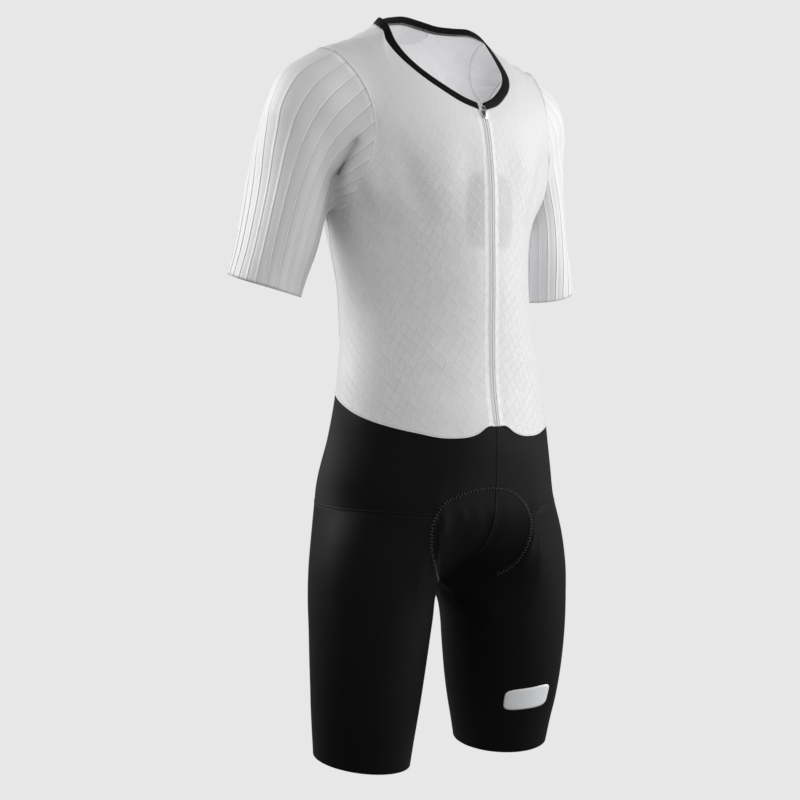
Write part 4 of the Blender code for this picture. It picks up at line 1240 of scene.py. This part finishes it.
def crease_relief(points):
    """Soft troughs and ridges, the same on both sides of the body."""
    x = np.abs(points[..., 0])
    here = np.stack([x, points[..., 1], points[..., 2]], -1)
    relief = np.zeros(x.shape)
    for start_x, start_y, start_z, end_x, end_y, end_z, width, height in CREASES:
        start = np.array((start_x, start_y, start_z))
        run = np.array((end_x, end_y, end_z)) - start
        share = np.clip(((here - start) @ run) / (run @ run), 0, 1)
        off = np.linalg.norm(here - start - share[..., None] * run, axis=-1)
        taper = np.sin(np.pi * (CREASE_END + (1 - 2 * CREASE_END) * share))
        relief += height * taper * np.exp(-(off / width) ** 2)
    return relief


def sampled(grid, parts, ring=False):
    """Places of the fine points along both axes of a grid."""
    rows = len(grid) if ring else len(grid) - 1
    count = rows * parts + (0 if ring else 1)
    last = grid.shape[1] - 1
    return np.arange(count) / parts, np.linspace(0, last, last * parts + 1)


class Panel:
    """A piece's fine points on the cloth's outer face, its normals and the places on its cut."""

    def __init__(self, grid, out, steps, ring):
        rows, columns = sampled(grid, PANEL_PARTS, ring)
        self.ring = ring
        self.out = unit(finer(out, rows, columns, ring))
        self.points = seamed(finer(grid, rows, columns, ring), grid, rows, columns, steps, ring)
        self.points = self.points + self.out * crease_relief(self.points)[..., None]

    def cut(self, start=0.0):
        """Across from the first column, and up by height."""
        whole = np.concatenate([self.points, self.points[:1]]) if self.ring else self.points
        return np.stack([lengths(whole, 0) + start, whole[..., 2]], -1)

    def lap(self):
        """How far the cloth stands out along its sewn lower edge."""
        edge = np.clip(1 - lengths(self.points, 1) / WAIST_LAP["depth"], 0, 1)
        return edge ** WAIST_LAP["power"] * WAIST_LAP["height"]

    def shell(self, name, finish, flip=False, proud=0.0, start=0.0):
        """The panel's wall of cloth, as an object."""
        outer = self.points + self.out * np.asarray(proud)[..., None]
        return shell(name, outer, outer - self.out * CLOTH, self.cut(start), finish, self.ring, flip)


def bodice(panels, finishes):
    """The two fronts and the back."""
    front, back = panels["front"], panels["back"]
    for side, flip in SIDES:
        made = front.shell(f"front_{side}_knit", finishes["check_knit"], flip, front.lap())
        declare(made, [f"front_{side}"], flat_size(front.points))
    half = back.cut()[-1, :, 0] / 2
    made = back.shell("back_knit", finishes["check_knit"], proud=back.lap(), start=-half)
    declare(made, ["back"], flat_size(back.points))


def sleeves(grid, out, steps, finishes):
    """Ribs run from the cuff to the armhole, with a soft band of cloth between each two."""
    share, height = RIB_PROFILE[:, 0], np.tile(RIB_PROFILE[:, 1], RIBS)
    rib = (np.arange(RIBS)[:, None] + share[None]).ravel()
    ends = rib * len(grid) / RIBS
    columns = sampled(grid, SLEEVE_PARTS)[1]
    lean = unit(finer(out, ends, columns, True))
    base = seamed(finer(grid, ends, columns, True), grid, ends, columns, steps, True)
    base = base + lean * crease_relief(base)[..., None]
    fade = 1 - RIB_FADE * (columns / columns[-1]) ** 2
    outer = base + lean * (height[:, None] * fade[None])[..., None]
    rib = np.append(rib, RIBS)
    up = np.concatenate([lengths(outer, 1), lengths(outer, 1)[:1]])
    flat = np.stack([np.repeat(rib[:, None], len(columns), 1), up], -1)
    for side, flip in SIDES:
        made = shell(f"sleeve_{side}_knit", outer, outer - lean * CLOTH, flat, finishes["ribbed_knit"],
                     True, flip)
        declare(made, [f"sleeve_{side}"], flat_size(base, True))


def shorts(panels, finishes):
    """The two hip pieces and the two legs."""
    for side, flip in SIDES:
        for name in ("yoke", "leg"):
            panel = panels[name]
            made = panel.shell(f"{name}_{side}_knit", finishes["black_knit"], flip)
            declare(made, [f"{name}_{side}"], flat_size(panel.points, panel.ring))


def bonded_tab(grid, out, finishes):
    """Plain rounded film tab on the left leg."""
    s, t = np.meshgrid(*(np.linspace(-1, 1, count) for count in TAB_POINTS), indexing="ij")
    edge = np.maximum(np.abs(s), np.abs(t))
    corner = (np.abs(s) ** TAB["corner"] + np.abs(t) ** TAB["corner"]) ** (1 / TAB["corner"])
    inset = edge / np.maximum(corner, 1e-9)
    ring = TAB["ring"] + TAB["half_ring"] * s * inset
    row = TAB["row"] + TAB["half_row"] * t * inset
    fine_ring, fine_row = (np.arange(0, reach, TAB_STEP) for reach in TAB_GRID)

    def at(values):
        i, j = ring / TAB_STEP, row / TAB_STEP
        a, b = np.floor(i).astype(int), np.floor(j).astype(int)
        u, v = (i - a)[..., None], (j - b)[..., None]
        low = values[a, b] * (1 - u) + values[a + 1, b] * u
        high = values[a, b + 1] * (1 - u) + values[a + 1, b + 1] * u
        return low * (1 - v) + high * v

    points = at(finer(grid, fine_ring, fine_row, True))
    leans = unit(at(unit(finer(out, fine_ring, fine_row, True))))
    rise = TAB["height"] * (1 - edge ** TAB["edge_power"])
    outer = points + leans * (TAB["rim"] + rise)[..., None]
    inner = points + leans * TAB["glue"]
    made = shell("leg_tab_film", outer, inner, flat_map(points), finishes["bonded_film"])
    declare(made, ["leg_tab"])


def collar(grid, out, finishes):
    """Folded neck binding with a rounded section, in three pieces."""
    last = len(grid) - 1
    width = np.linspace(0, 1, COLLAR_POINTS["width"])
    bulge = (1 - np.abs(2 * width - 1) ** COLLAR_ROUND) ** (1 / COLLAR_ROUND) * COLLAR_WALL / 2
    rows = np.linspace(COLLAR_INSET, NECK_COLUMNS, COLLAR_POINTS["front"])
    points, lean = finer(grid, rows, width * 2), unit(finer(out, rows, width * 2))
    for side, flip in SIDES:
        strip(f"collar_{side}", points, lean, bulge, finishes, True, flip)
    rows = np.linspace(NECK_COLUMNS, 2 * last - NECK_COLUMNS, COLLAR_POINTS["back"])
    points = finer(both_halves(grid), rows, width * 2)
    lean = unit(finer(both_halves(out), rows, width * 2))
    strip("collar_back", points, lean, bulge, finishes, False)


def strip(node, points, lean, bulge, finishes, free_end, flip=False):
    """A soft folded strip: rounded off at a free end, with a fine groove where it meets the next one."""
    run = lengths(points, 0)
    rounded = np.clip(run / STRIP_END["over"], STRIP_END["least"], 1) ** 0.5 if free_end else 1.0
    meeting = np.clip(np.minimum(run, run[-1:] - run) / STRIP_MEET["over"], STRIP_MEET["least"], 1)
    thick = lean * (bulge[None, :] * rounded * meeting)[..., None]
    middle = points - lean * COLLAR_SINK
    inner = middle - thick - lean * COLLAR_UNDER
    made = shell(f"{node}_binding", middle + thick, inner, flat_map(points), finishes["binding"], False, flip)
    declare(made, [node], flat_size(points))


def facing(back, finishes):
    """Half-moon inside the back neck with a light taped edge."""
    top, out = back.points[:, -1], back.out[:, -1]
    middle = np.abs(top[:, 0]) < FACING_HALF
    columns = back.points[middle][:, ::-1]
    leans = back.out[middle][:, ::-1]
    x = top[middle, 0]
    drop = FACING_DROP * np.sqrt(np.maximum(1 - (x / FACING_HALF) ** 2, 0.02))
    depth = lengths(columns, 1)
    level = np.linspace(0.03, 1, FACING_POINTS)

    def at(values, inset):
        rows = []
        for k in range(len(x)):
            here = level * drop[k] + inset
            rows.append(read_off(values[k], depth[k], here))
        return np.array(rows)

    points, lean = at(columns, 0.0), unit(at(leans, 0.0))
    outer = points - lean * (CLOTH + FACING_GAP)
    inner = outer - lean * FACING_WALL
    made = shell("neck_facing_knit", outer, inner, flat_map(points), finishes["facing"])
    declare(made, ["neck_facing"], flat_size(points))
    edge = outer[:, -1] - lean[:, -1] * FACING_EDGE["inside"]
    made = ridge("neck_facing_edge", edge, -lean[:, -1], FACING_EDGE["width"], FACING_EDGE["height"],
                 finishes["white_thread"])
    declare(made, [])


def seat_pad(pad, finishes):
    """Moulded pad: grooves run along it and across it, and it thins to its edge."""
    rows, columns = sampled(pad, PAD_PARTS)
    points, out = finer(pad, rows, columns), unit(finer(normals(pad), rows, columns))
    across, along_pad = np.abs(rows / rows[-1] * 2 - 1)[:, None], (columns / columns[-1])[None]
    edge = np.minimum(np.clip((1 - across) / PAD_TAPER["side"], 0, 1),
                      np.clip(np.minimum(along_pad, 1 - along_pad) / PAD_TAPER["end"], 0, 1))
    crown = edge * (2 - edge)
    groove = np.exp(-((across - PAD_GROOVE["at"]) / PAD_GROOVE["half"]) ** 2) * edge * PAD_GROOVE["depth"]
    centre = np.exp(-(across / PAD_CENTRE["half"]) ** 2) * edge * PAD_CENTRE["depth"]
    cross = sum(np.exp(-((along_pad - at) / PAD_CROSSING["half"]) ** 2) for at in PAD_CROSSING["at"])
    cross = cross * edge * PAD_CROSSING["depth"]
    outer = points - out * PAD_INSIDE
    inner = outer - out * (PAD_RIM + (PAD_WALL - PAD_RIM) * crown - groove - centre - cross)[..., None]
    made = shell("seat_pad_foam", outer, inner, flat_map(points), finishes["pad_foam"])
    declare(made, ["seat_pad"])


def dense(line, steps, closed=False):
    """A seam's points again, on its own smooth curve."""
    parts = np.arange(SEAM_PARTS) / SEAM_PARTS
    found = np.vstack([on_step(steps[key(a), key(b)], parts) for a, b in zip(line[:-1], line[1:])])
    return found if closed else np.vstack([found, line[-1:]])


def creased(line):
    """A seam's points on the creased cloth."""
    return line + outward(line) * crease_relief(line)[..., None]


def tube(name, loops, flat, finish, closed=False, flip=False, last_first=False):
    """A closed skin over loops of points that follow one another; flat has each point's UV, which
    the faces can also take in the order of the last face first."""
    rows, count = loops.shape[:2]
    place = np.arange(rows * count).reshape(rows, count)
    whole = np.vstack([place, place[:1]]) if closed else place
    a, b = whole[:-1], whole[1:]
    faces = np.stack([a, np.roll(a, -1, 1), np.roll(b, -1, 1), b], -1).reshape(-1, 4).tolist()
    if not closed:
        faces += [place[0, ::-1].tolist(), place[-1].tolist()]
    points = loops.reshape(-1, 3)
    if flip:
        points = mirrored(points)
        faces = [face[::-1] for face in faces]
    order = faces[::-1] if last_first else faces
    uv = np.array([flat[k] for face in order for k in face])
    made = add_mesh(name, points, faces, uv, finish)
    work = bmesh.new()
    work.from_mesh(made.data)
    bmesh.ops.recalc_face_normals(work, faces=work.faces)
    work.to_mesh(made.data)
    work.free()
    return made


def ridge(name, line, out, width, height, finish, closed=False, flip=False):
    """A low rounded strip along a seam."""
    run = unit(np.roll(line, -1, 0) - np.roll(line, 1, 0) if closed else np.gradient(line, axis=0))
    side = unit(np.cross(out, run))
    turn = np.linspace(0, 2 * math.pi, RIDGE_SIDES, endpoint=False)
    section = (side[:, None] * (np.cos(turn) * width / 2)[None, :, None]
               + out[:, None] * (np.sin(turn) * height)[None, :, None])
    share = np.tile(np.arange(RIDGE_SIDES) / RIDGE_SIDES * width, len(line))
    flat = np.stack([np.repeat(run_length(line), RIDGE_SIDES), share], -1)
    return tube(name, line[:, None] + section, flat, finish, closed, flip)


def seam_ridges(lines, steps, finishes):
    """Raised seams: bonded white ones on the bodice, flat black ones on the shorts."""
    for name, width, height, finish, seam_slot, both in SEAMS:
        closed = name == "armhole"
        line = dense(lines[name], steps, closed)
        if name == "shoulder":
            neck_end = line[np.abs(line[:, 0]).argmin()]
            line = line[np.linalg.norm(line - neck_end, axis=1) > BINDING_COVER]
        line = creased(line)
        lean = outward(line)
        for side, flip in SIDES if both else (("middle", False),):
            made = ridge(f"seam_{name}_{side}", line, lean, width, height, finishes[finish], closed, flip)
            declare(made, [])


def stitch_tree():
    """Geometry Nodes: a small rounded stitch on each point, laid along run and standing out."""
    tree = bpy.data.node_groups.new("stitch_rows", "GeometryNodeTree")
    tree.interface.new_socket("Points", in_out="INPUT", socket_type="NodeSocketGeometry")
    for name in ("Half Length", "Half Width", "Half Height"):
        tree.interface.new_socket(name, in_out="INPUT", socket_type="NodeSocketFloat")
    tree.interface.new_socket("Thread", in_out="INPUT", socket_type="NodeSocketMaterial")
    tree.interface.new_socket("Stitches", in_out="OUTPUT", socket_type="NodeSocketGeometry")

    def node(kind, settings=(), sockets=()):
        made = tree.nodes.new(kind)
        for setting, value in dict(settings).items():
            setattr(made, setting, value)
        for socket, value in dict(sockets).items():
            if isinstance(value, bpy.types.NodeSocket):
                tree.links.new(value, made.inputs[socket])
            else:
                made.inputs[socket].default_value = value
        return made

    given = node("NodeGroupInput")
    size = node("ShaderNodeCombineXYZ", (), {0: given.outputs["Half Length"], 1: given.outputs["Half Width"],
                                             2: given.outputs["Half Height"]})
    run = node("GeometryNodeInputNamedAttribute", {"data_type": "FLOAT_VECTOR"}, {"Name": "run"})
    out = node("GeometryNodeInputNamedAttribute", {"data_type": "FLOAT_VECTOR"}, {"Name": "out"})
    stand = node("FunctionNodeAlignRotationToVector", {"axis": "Z"}, {"Vector": out.outputs["Attribute"]})
    lay = node("FunctionNodeAlignRotationToVector", {"axis": "X", "pivot_axis": "Z"},
               {"Rotation": stand.outputs[0], "Vector": run.outputs["Attribute"]})
    bead = node("GeometryNodeMeshUVSphere", (), {"Segments": 6, "Rings": 4, "Radius": 1.0})
    rows = node("GeometryNodeInstanceOnPoints", (), {"Points": given.outputs["Points"],
                                                     "Instance": bead.outputs["Mesh"],
                                                     "Rotation": lay.outputs[0], "Scale": size.outputs[0]})
    real = node("GeometryNodeRealizeInstances", (), {"Geometry": rows.outputs[0]})
    smooth = node("GeometryNodeSetShadeSmooth", (), {"Geometry": real.outputs[0]})
    dyed = node("GeometryNodeSetMaterial", (), {"Geometry": smooth.outputs[0],
                                                "Material": given.outputs["Thread"]})
    node("NodeGroupOutput", (), {"Stitches": dyed.outputs[0]})
    return tree


def stitches(name, kind, tree, rows, finish, flip=False):
    """One plain mesh of stitches; rows are their places, directions and normals."""
    points, run, out = (mirrored(values) if flip else values for values in rows)
    mesh = bpy.data.meshes.new(name)
    mesh.from_pydata(points.tolist(), [], [])
    for label, vectors in (("run", run), ("out", out)):
        layer = mesh.attributes.new(label, "FLOAT_VECTOR", "POINT")
        layer.data.foreach_set("vector", np.asarray(vectors, np.float32).ravel())
    made = bpy.data.objects.new(name, mesh)
    bpy.context.scene.collection.objects.link(made)
    maker = made.modifiers.new("rows", "NODES")
    maker.node_group = tree
    values = dict(zip(("Half Length", "Half Width", "Half Height"), STITCHES[kind][0]), Thread=finish)
    for socket in tree.interface.items_tree:
        if socket.name in values:
            maker[socket.identifier] = values[socket.name]
    found = bpy.data.meshes.new_from_object(made.evaluated_get(bpy.context.evaluated_depsgraph_get()))
    made.modifiers.clear()
    made.data = found
    found.name = name
    if not len(found.materials):
        found.materials.append(finish)
    return declare(made, [])


def stitch_points(line, out, kind):
    """Places, directions and normals of stitches along a line, turned to one side and the other."""
    _, pitch, swing, lift = STITCHES[kind]
    length = run_length(line)
    at = np.arange(pitch / 2, length[-1], pitch)
    points, lean = read_off(line, length, at), unit(read_off(out, length, at))
    run = unit(np.gradient(points, axis=0))
    side = unit(np.cross(lean, run))
    turn = swing * (-1) ** np.arange(len(at))[:, None]
    return points + lean * lift, run * np.cos(turn) + side * np.sin(turn), lean


def zip_tape(side, flip, line, out, finishes):
    """A tape with the rounded lip that its coil makes."""
    turn = np.linspace(0, math.pi, LIP_POINTS)
    lip = [(ZIP_LIP["middle"] - ZIP_LIP["half"] * math.cos(a), ZIP_LIP["height"] * math.sin(a)) for a in turn]
    section = [(ZIP_GAP, ZIP_UNDER - ZIP_WALL)] + [(x, ZIP_LIP["foot"] + y) for x, y in lip]
    section += [(ZIP_HALF - 0.0003, ZIP_UNDER), (ZIP_TAPE, ZIP_UNDER), (ZIP_TAPE, ZIP_UNDER - ZIP_WALL)]
    middle = line * np.array((0.0, 1.0, 1.0))
    loops = np.stack([middle + np.array((x, 0.0, 0.0)) + out * up for x, up in section], 1)
    wide = np.array([x for x, _ in section])
    flat = np.stack([np.tile(wide, len(line)), np.repeat(line[:, 2], len(wide))], -1)
    made = tube(f"zip_tape_{side}_woven", loops, flat, finishes["zip_tape"], flip=flip, last_first=flip)
    declare(made, [f"zip_tape_{side}"])


def zip_coil(side, flip, line, out, tree, finishes):
    """The coil's turns, slanting over the lip."""
    points, _, lean = stitch_points(line * np.array((0.0, 1.0, 1.0)), out, "coil")
    across = np.tile((1.0, 0.0, 0.0), (len(points), 1))
    up = unit(np.cross(lean, across))
    slant = across * math.cos(COIL_SLANT) + up * math.sin(COIL_SLANT)
    top = lean * (ZIP_LIP["foot"] + ZIP_LIP["height"] * COIL_SHARE)
    rows = points + across * ZIP_LIP["middle"] + top, slant, lean
    stitches(f"zip_coil_{side}", "coil", tree, rows, finishes["zip_thread"], flip)


def fly_edge(side, flip, front, tree, finishes):
    """The folded edge of a front beside the zip, and the stitches that hold the tape."""
    line, out = front.points[0], front.out[0]
    edge = line + np.array((FRONT_EDGE["aside"], 0.0, 0.0)) - out * FRONT_EDGE["inside"]
    made = ridge(f"front_edge_{side}", edge, out, FRONT_EDGE["width"], FRONT_EDGE["height"],
                 finishes["white_seam"], flip=flip)
    declare(made, [])
    beside = sum(front.points[row] * 0.5 for row in FLY_ROWS)
    rows = stitch_points(line + unit(beside - line) * FLY_STITCH, out, "fly")
    stitches(f"fly_stitches_{side}", "fly", tree, rows, finishes["white_thread"], flip)


def zip_parts(front, tree, finishes):
    """Both halves of the zip, and the fronts' edges beside it."""
    line, out = front.points[0], front.out[0]
    for side, flip in SIDES:
        zip_tape(side, flip, line, out, finishes)
        zip_coil(side, flip, line, out, tree, finishes)
        fly_edge(side, flip, front, tree, finishes)


def softened(node, name, finish, bevel, body):
    """A small hard piece of the frame with its edges rounded."""
    made = bpy.data.objects.new(name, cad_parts[node].data.copy())
    bpy.context.scene.collection.objects.link(made)
    work = bmesh.new()
    work.from_mesh(made.data)
    bmesh.ops.remove_doubles(work, verts=work.verts, dist=0.00001)
    bmesh.ops.dissolve_limit(work, angle_limit=0.02, verts=work.verts, edges=work.edges)
    work.to_mesh(made.data)
    work.free()
    made.data.materials.clear()
    made.data.materials.append(finish)
    made.data.shade_smooth()
    edges = made.modifiers.new("edges", "BEVEL")
    edges.width = bevel
    edges.segments = 3
    edges.limit_method = "ANGLE"
    edges.angle_limit = math.radians(30)
    return declare(made, [node], body=body)


def on_surface(tree, keys, front):
    """Points of the shorts behind keys in the x-z plane, with their normals."""
    way = 1 if front else -1
    points, leans = [], []
    for x, _, z in curve([(x, 0.0, z) for x, z in keys], OUTLINE_POINTS).tolist():
        found, normal, _, _ = tree.ray_cast(Vector((x, -0.3 * way, z)), Vector((0, way, 0)))
        if found is not None:
            points.append(tuple(found))
            leans.append(tuple(-normal if normal.y * way > 0 else normal))
    return np.array(points), np.array(leans)


def smooth_out(leans, rounds=6):
    """Directions along a line, evened with their neighbours."""
    for _ in range(rounds):
        leans = unit(np.vstack([leans[:1], (leans[:-2] + 2 * leans[1:-1] + leans[2:]) / 4, leans[-1:]]))
    return leans


def pad_outline(panels, tree, finishes):
    """Zigzag stitches that hold the pad, over the front and the seat."""
    surface = search_tree([(panels[name].points, panels[name].ring) for name in ("yoke", "leg")])
    for name, keys, front in (("front", PAD_STITCHES, True), ("seat", PAD_STITCHES_BACK, False)):
        line, lean = on_surface(surface, keys, front)
        rows = stitch_points(line, smooth_out(lean), "pad")
        stitches(f"pad_stitches_{name}", "pad", tree, rows, finishes["black_thread"])


def belly_stitches(lines, steps, tree, finishes):
    """A fine row down the centre front seam of the shorts."""
    line = dense(lines["belly"], steps)
    rows = stitch_points(creased(line), outward(line), "belly")
    stitches("belly_stitches", "belly", tree, rows, finishes["seam_thread"])


def neck_stitches(lines, steps, tree, finishes):
    """Flatlock under the back of the neck binding, inside and outside."""
    whole = both_halves(dense(lines["neck_back"], steps))
    lean = outward(whole)
    down = unit(np.cross(np.gradient(whole, axis=0), lean))
    down *= np.sign(-down[:, 2:3])
    for name, lift, sign, drops, thread in NECK_ROWS:
        for row, drop in enumerate(drops):
            points, run, out = stitch_points(whole + down * drop, lean, "neck")
            rows = points + out * sign * lift, run, out * sign
            stitches(f"neck_stitches_{name}_{row}", "neck", tree, rows, finishes[thread])


def waist_edge(lines, steps, finishes):
    """Thin bright rolled edge of the bodice over the shorts."""
    half = dense(lines["waist"], steps)
    half = half[half[:, 0] > ZIP_HALF * 0.9] if half[0, 0] < ZIP_HALF else half
    lean = outward(half)
    line = half + lean * (crease_relief(half)[..., None] + WAIST_EDGE["out"])
    line = line + np.array((0, 0, WAIST_EDGE["up"]))
    for side, flip in SIDES:
        made = ridge(f"waist_edge_{side}", line, lean, WAIST_EDGE["width"], WAIST_EDGE["height"],
                     finishes["white_seam"], flip=flip)
        declare(made, [])


def area_light(name, place, size, power):
    """A white lamp with an even face, turned to the garment."""
    lamp = bpy.data.lights.new(name, "AREA")
    lamp.shape = "RECTANGLE"
    lamp.size, lamp.size_y = size
    lamp.energy = power
    made = bpy.data.objects.new(name, lamp)
    made.location = place
    made.rotation_euler = (Vector(LIGHT_TARGET) - Vector(place)).to_track_quat("-Z", "Y").to_euler()
    bpy.context.scene.collection.objects.link(made)


def two_tones(tree, kind, seen_tone, lit_tone, output):
    """The camera sees one tone, and the garment is lit by another."""
    nodes, links = tree.nodes, tree.links
    path, mix = nodes.new("ShaderNodeLightPath"), nodes.new("ShaderNodeMixShader")
    seen, lit = nodes.new(kind), nodes.new(kind)
    seen.inputs["Color"].default_value = (*seen_tone, 1)
    lit.inputs["Color"].default_value = (*lit_tone, 1)
    links.new(path.outputs["Is Camera Ray"], mix.inputs[0])
    links.new(lit.outputs[0], mix.inputs[1])
    links.new(seen.outputs[0], mix.inputs[2])
    links.new(mix.outputs[0], nodes[output].inputs[0])


def backdrop(scene):
    """Pale floor and backdrop of one even tone."""
    tone = (BACKDROP, BACKDROP, BACKDROP)
    world = bpy.data.worlds.new("studio")
    scene.world = world
    world.use_nodes = True
    ambient = (AMBIENT, AMBIENT, AMBIENT * 1.01)
    two_tones(world.node_tree, "ShaderNodeBackground", tone, ambient, "World Output")
    mesh = bpy.data.meshes.new("floor")
    half = FLOOR_HALF
    mesh.from_pydata([(-half, -half, FLOOR), (half, -half, FLOOR), (half, half, FLOOR), (-half, half, FLOOR)],
                     [], [(0, 1, 2, 3)])
    floor = bpy.data.objects.new("floor", mesh)
    scene.collection.objects.link(floor)
    paper = bpy.data.materials.new("floor_paper")
    paper.use_nodes = True
    ambient = (AMBIENT * 0.8, AMBIENT * 0.8, AMBIENT * 0.8)
    two_tones(paper.node_tree, "ShaderNodeEmission", tone, ambient, "Material Output")
    mesh.materials.append(paper)


def studio():
    """The backdrop, the lamps round the garment and inside it, and the camera."""
    scene = bpy.context.scene
    backdrop(scene)
    for name, away, height, size, power in LIGHTS:
        turn = math.radians(CAMERA["facing"] + away)
        place = (math.sin(turn) * LIGHT_REACH, -math.cos(turn) * LIGHT_REACH, height)
        area_light(name, place, size, power)

    lamp = bpy.data.lights.new("inside", "POINT")
    lamp.energy, lamp.shadow_soft_size = INSIDE["power"], INSIDE["size"]
    made = bpy.data.objects.new("inside", lamp)
    made.location = INSIDE["place"]
    scene.collection.objects.link(made)

    lens = bpy.data.cameras.new("camera")
    lens.lens = CAMERA["lens"]
    lens.sensor_width = 36.0
    lens.clip_end = 200.0
    camera = bpy.data.objects.new("camera", lens)
    camera.location = CAMERA["place"]
    camera.rotation_euler = (math.radians(90 - CAMERA["down"]), 0, math.radians(CAMERA["facing"]))
    scene.collection.objects.link(camera)
    scene.camera = camera
    scene.view_settings.view_transform = "Standard"


def main():
    """Everything of the scene, in the order in which it is built."""
    lines = seams()
    grids = {"front": front_grid(lines), "back": back_grid(lines), "yoke": yoke_grid(lines),
             "leg": leg_grid(lines), "sleeve": sleeve_grid(lines), "collar": collar_grid(lines)}
    out = shared_normals(grids)
    steps = seam_steps(lines)
    finishes = {"check_knit": check_knit(), "ribbed_knit": ribbed_knit(), "black_knit": black_knit()}
    finishes.update({name: plain_cloth(name, *look) for name, look in CLOTHS.items()})
    finishes.update({name: small_finish(name, *look) for name, look in TRIMS.items()})
    panels = {name: Panel(grids[name], out[name], steps, name in RINGS)
              for name in ("front", "back", "yoke", "leg")}
    bodice(panels, finishes)
    sleeves(grids["sleeve"], out["sleeve"], steps, finishes)
    shorts(panels, finishes)
    bonded_tab(grids["leg"], out["leg"], finishes)
    collar(grids["collar"], out["collar"], finishes)
    facing(panels["back"], finishes)
    seat_pad(pad_grid(lines, grids), finishes)
    seam_ridges(lines, steps, finishes)
    waist_edge(lines, steps, finishes)
    tree = stitch_tree()
    zip_parts(panels["front"], tree, finishes)
    pad_outline(panels, tree, finishes)
    belly_stitches(lines, steps, tree, finishes)
    neck_stitches(lines, steps, tree, finishes)
    softened("zip_slider", "zip_slider_body", finishes["slider_metal"], 0.00025, "garment")
    softened("zip_pull", "zip_pull_tab", finishes["pull_metal"], 0.00022, "pull")
    studio()


main()
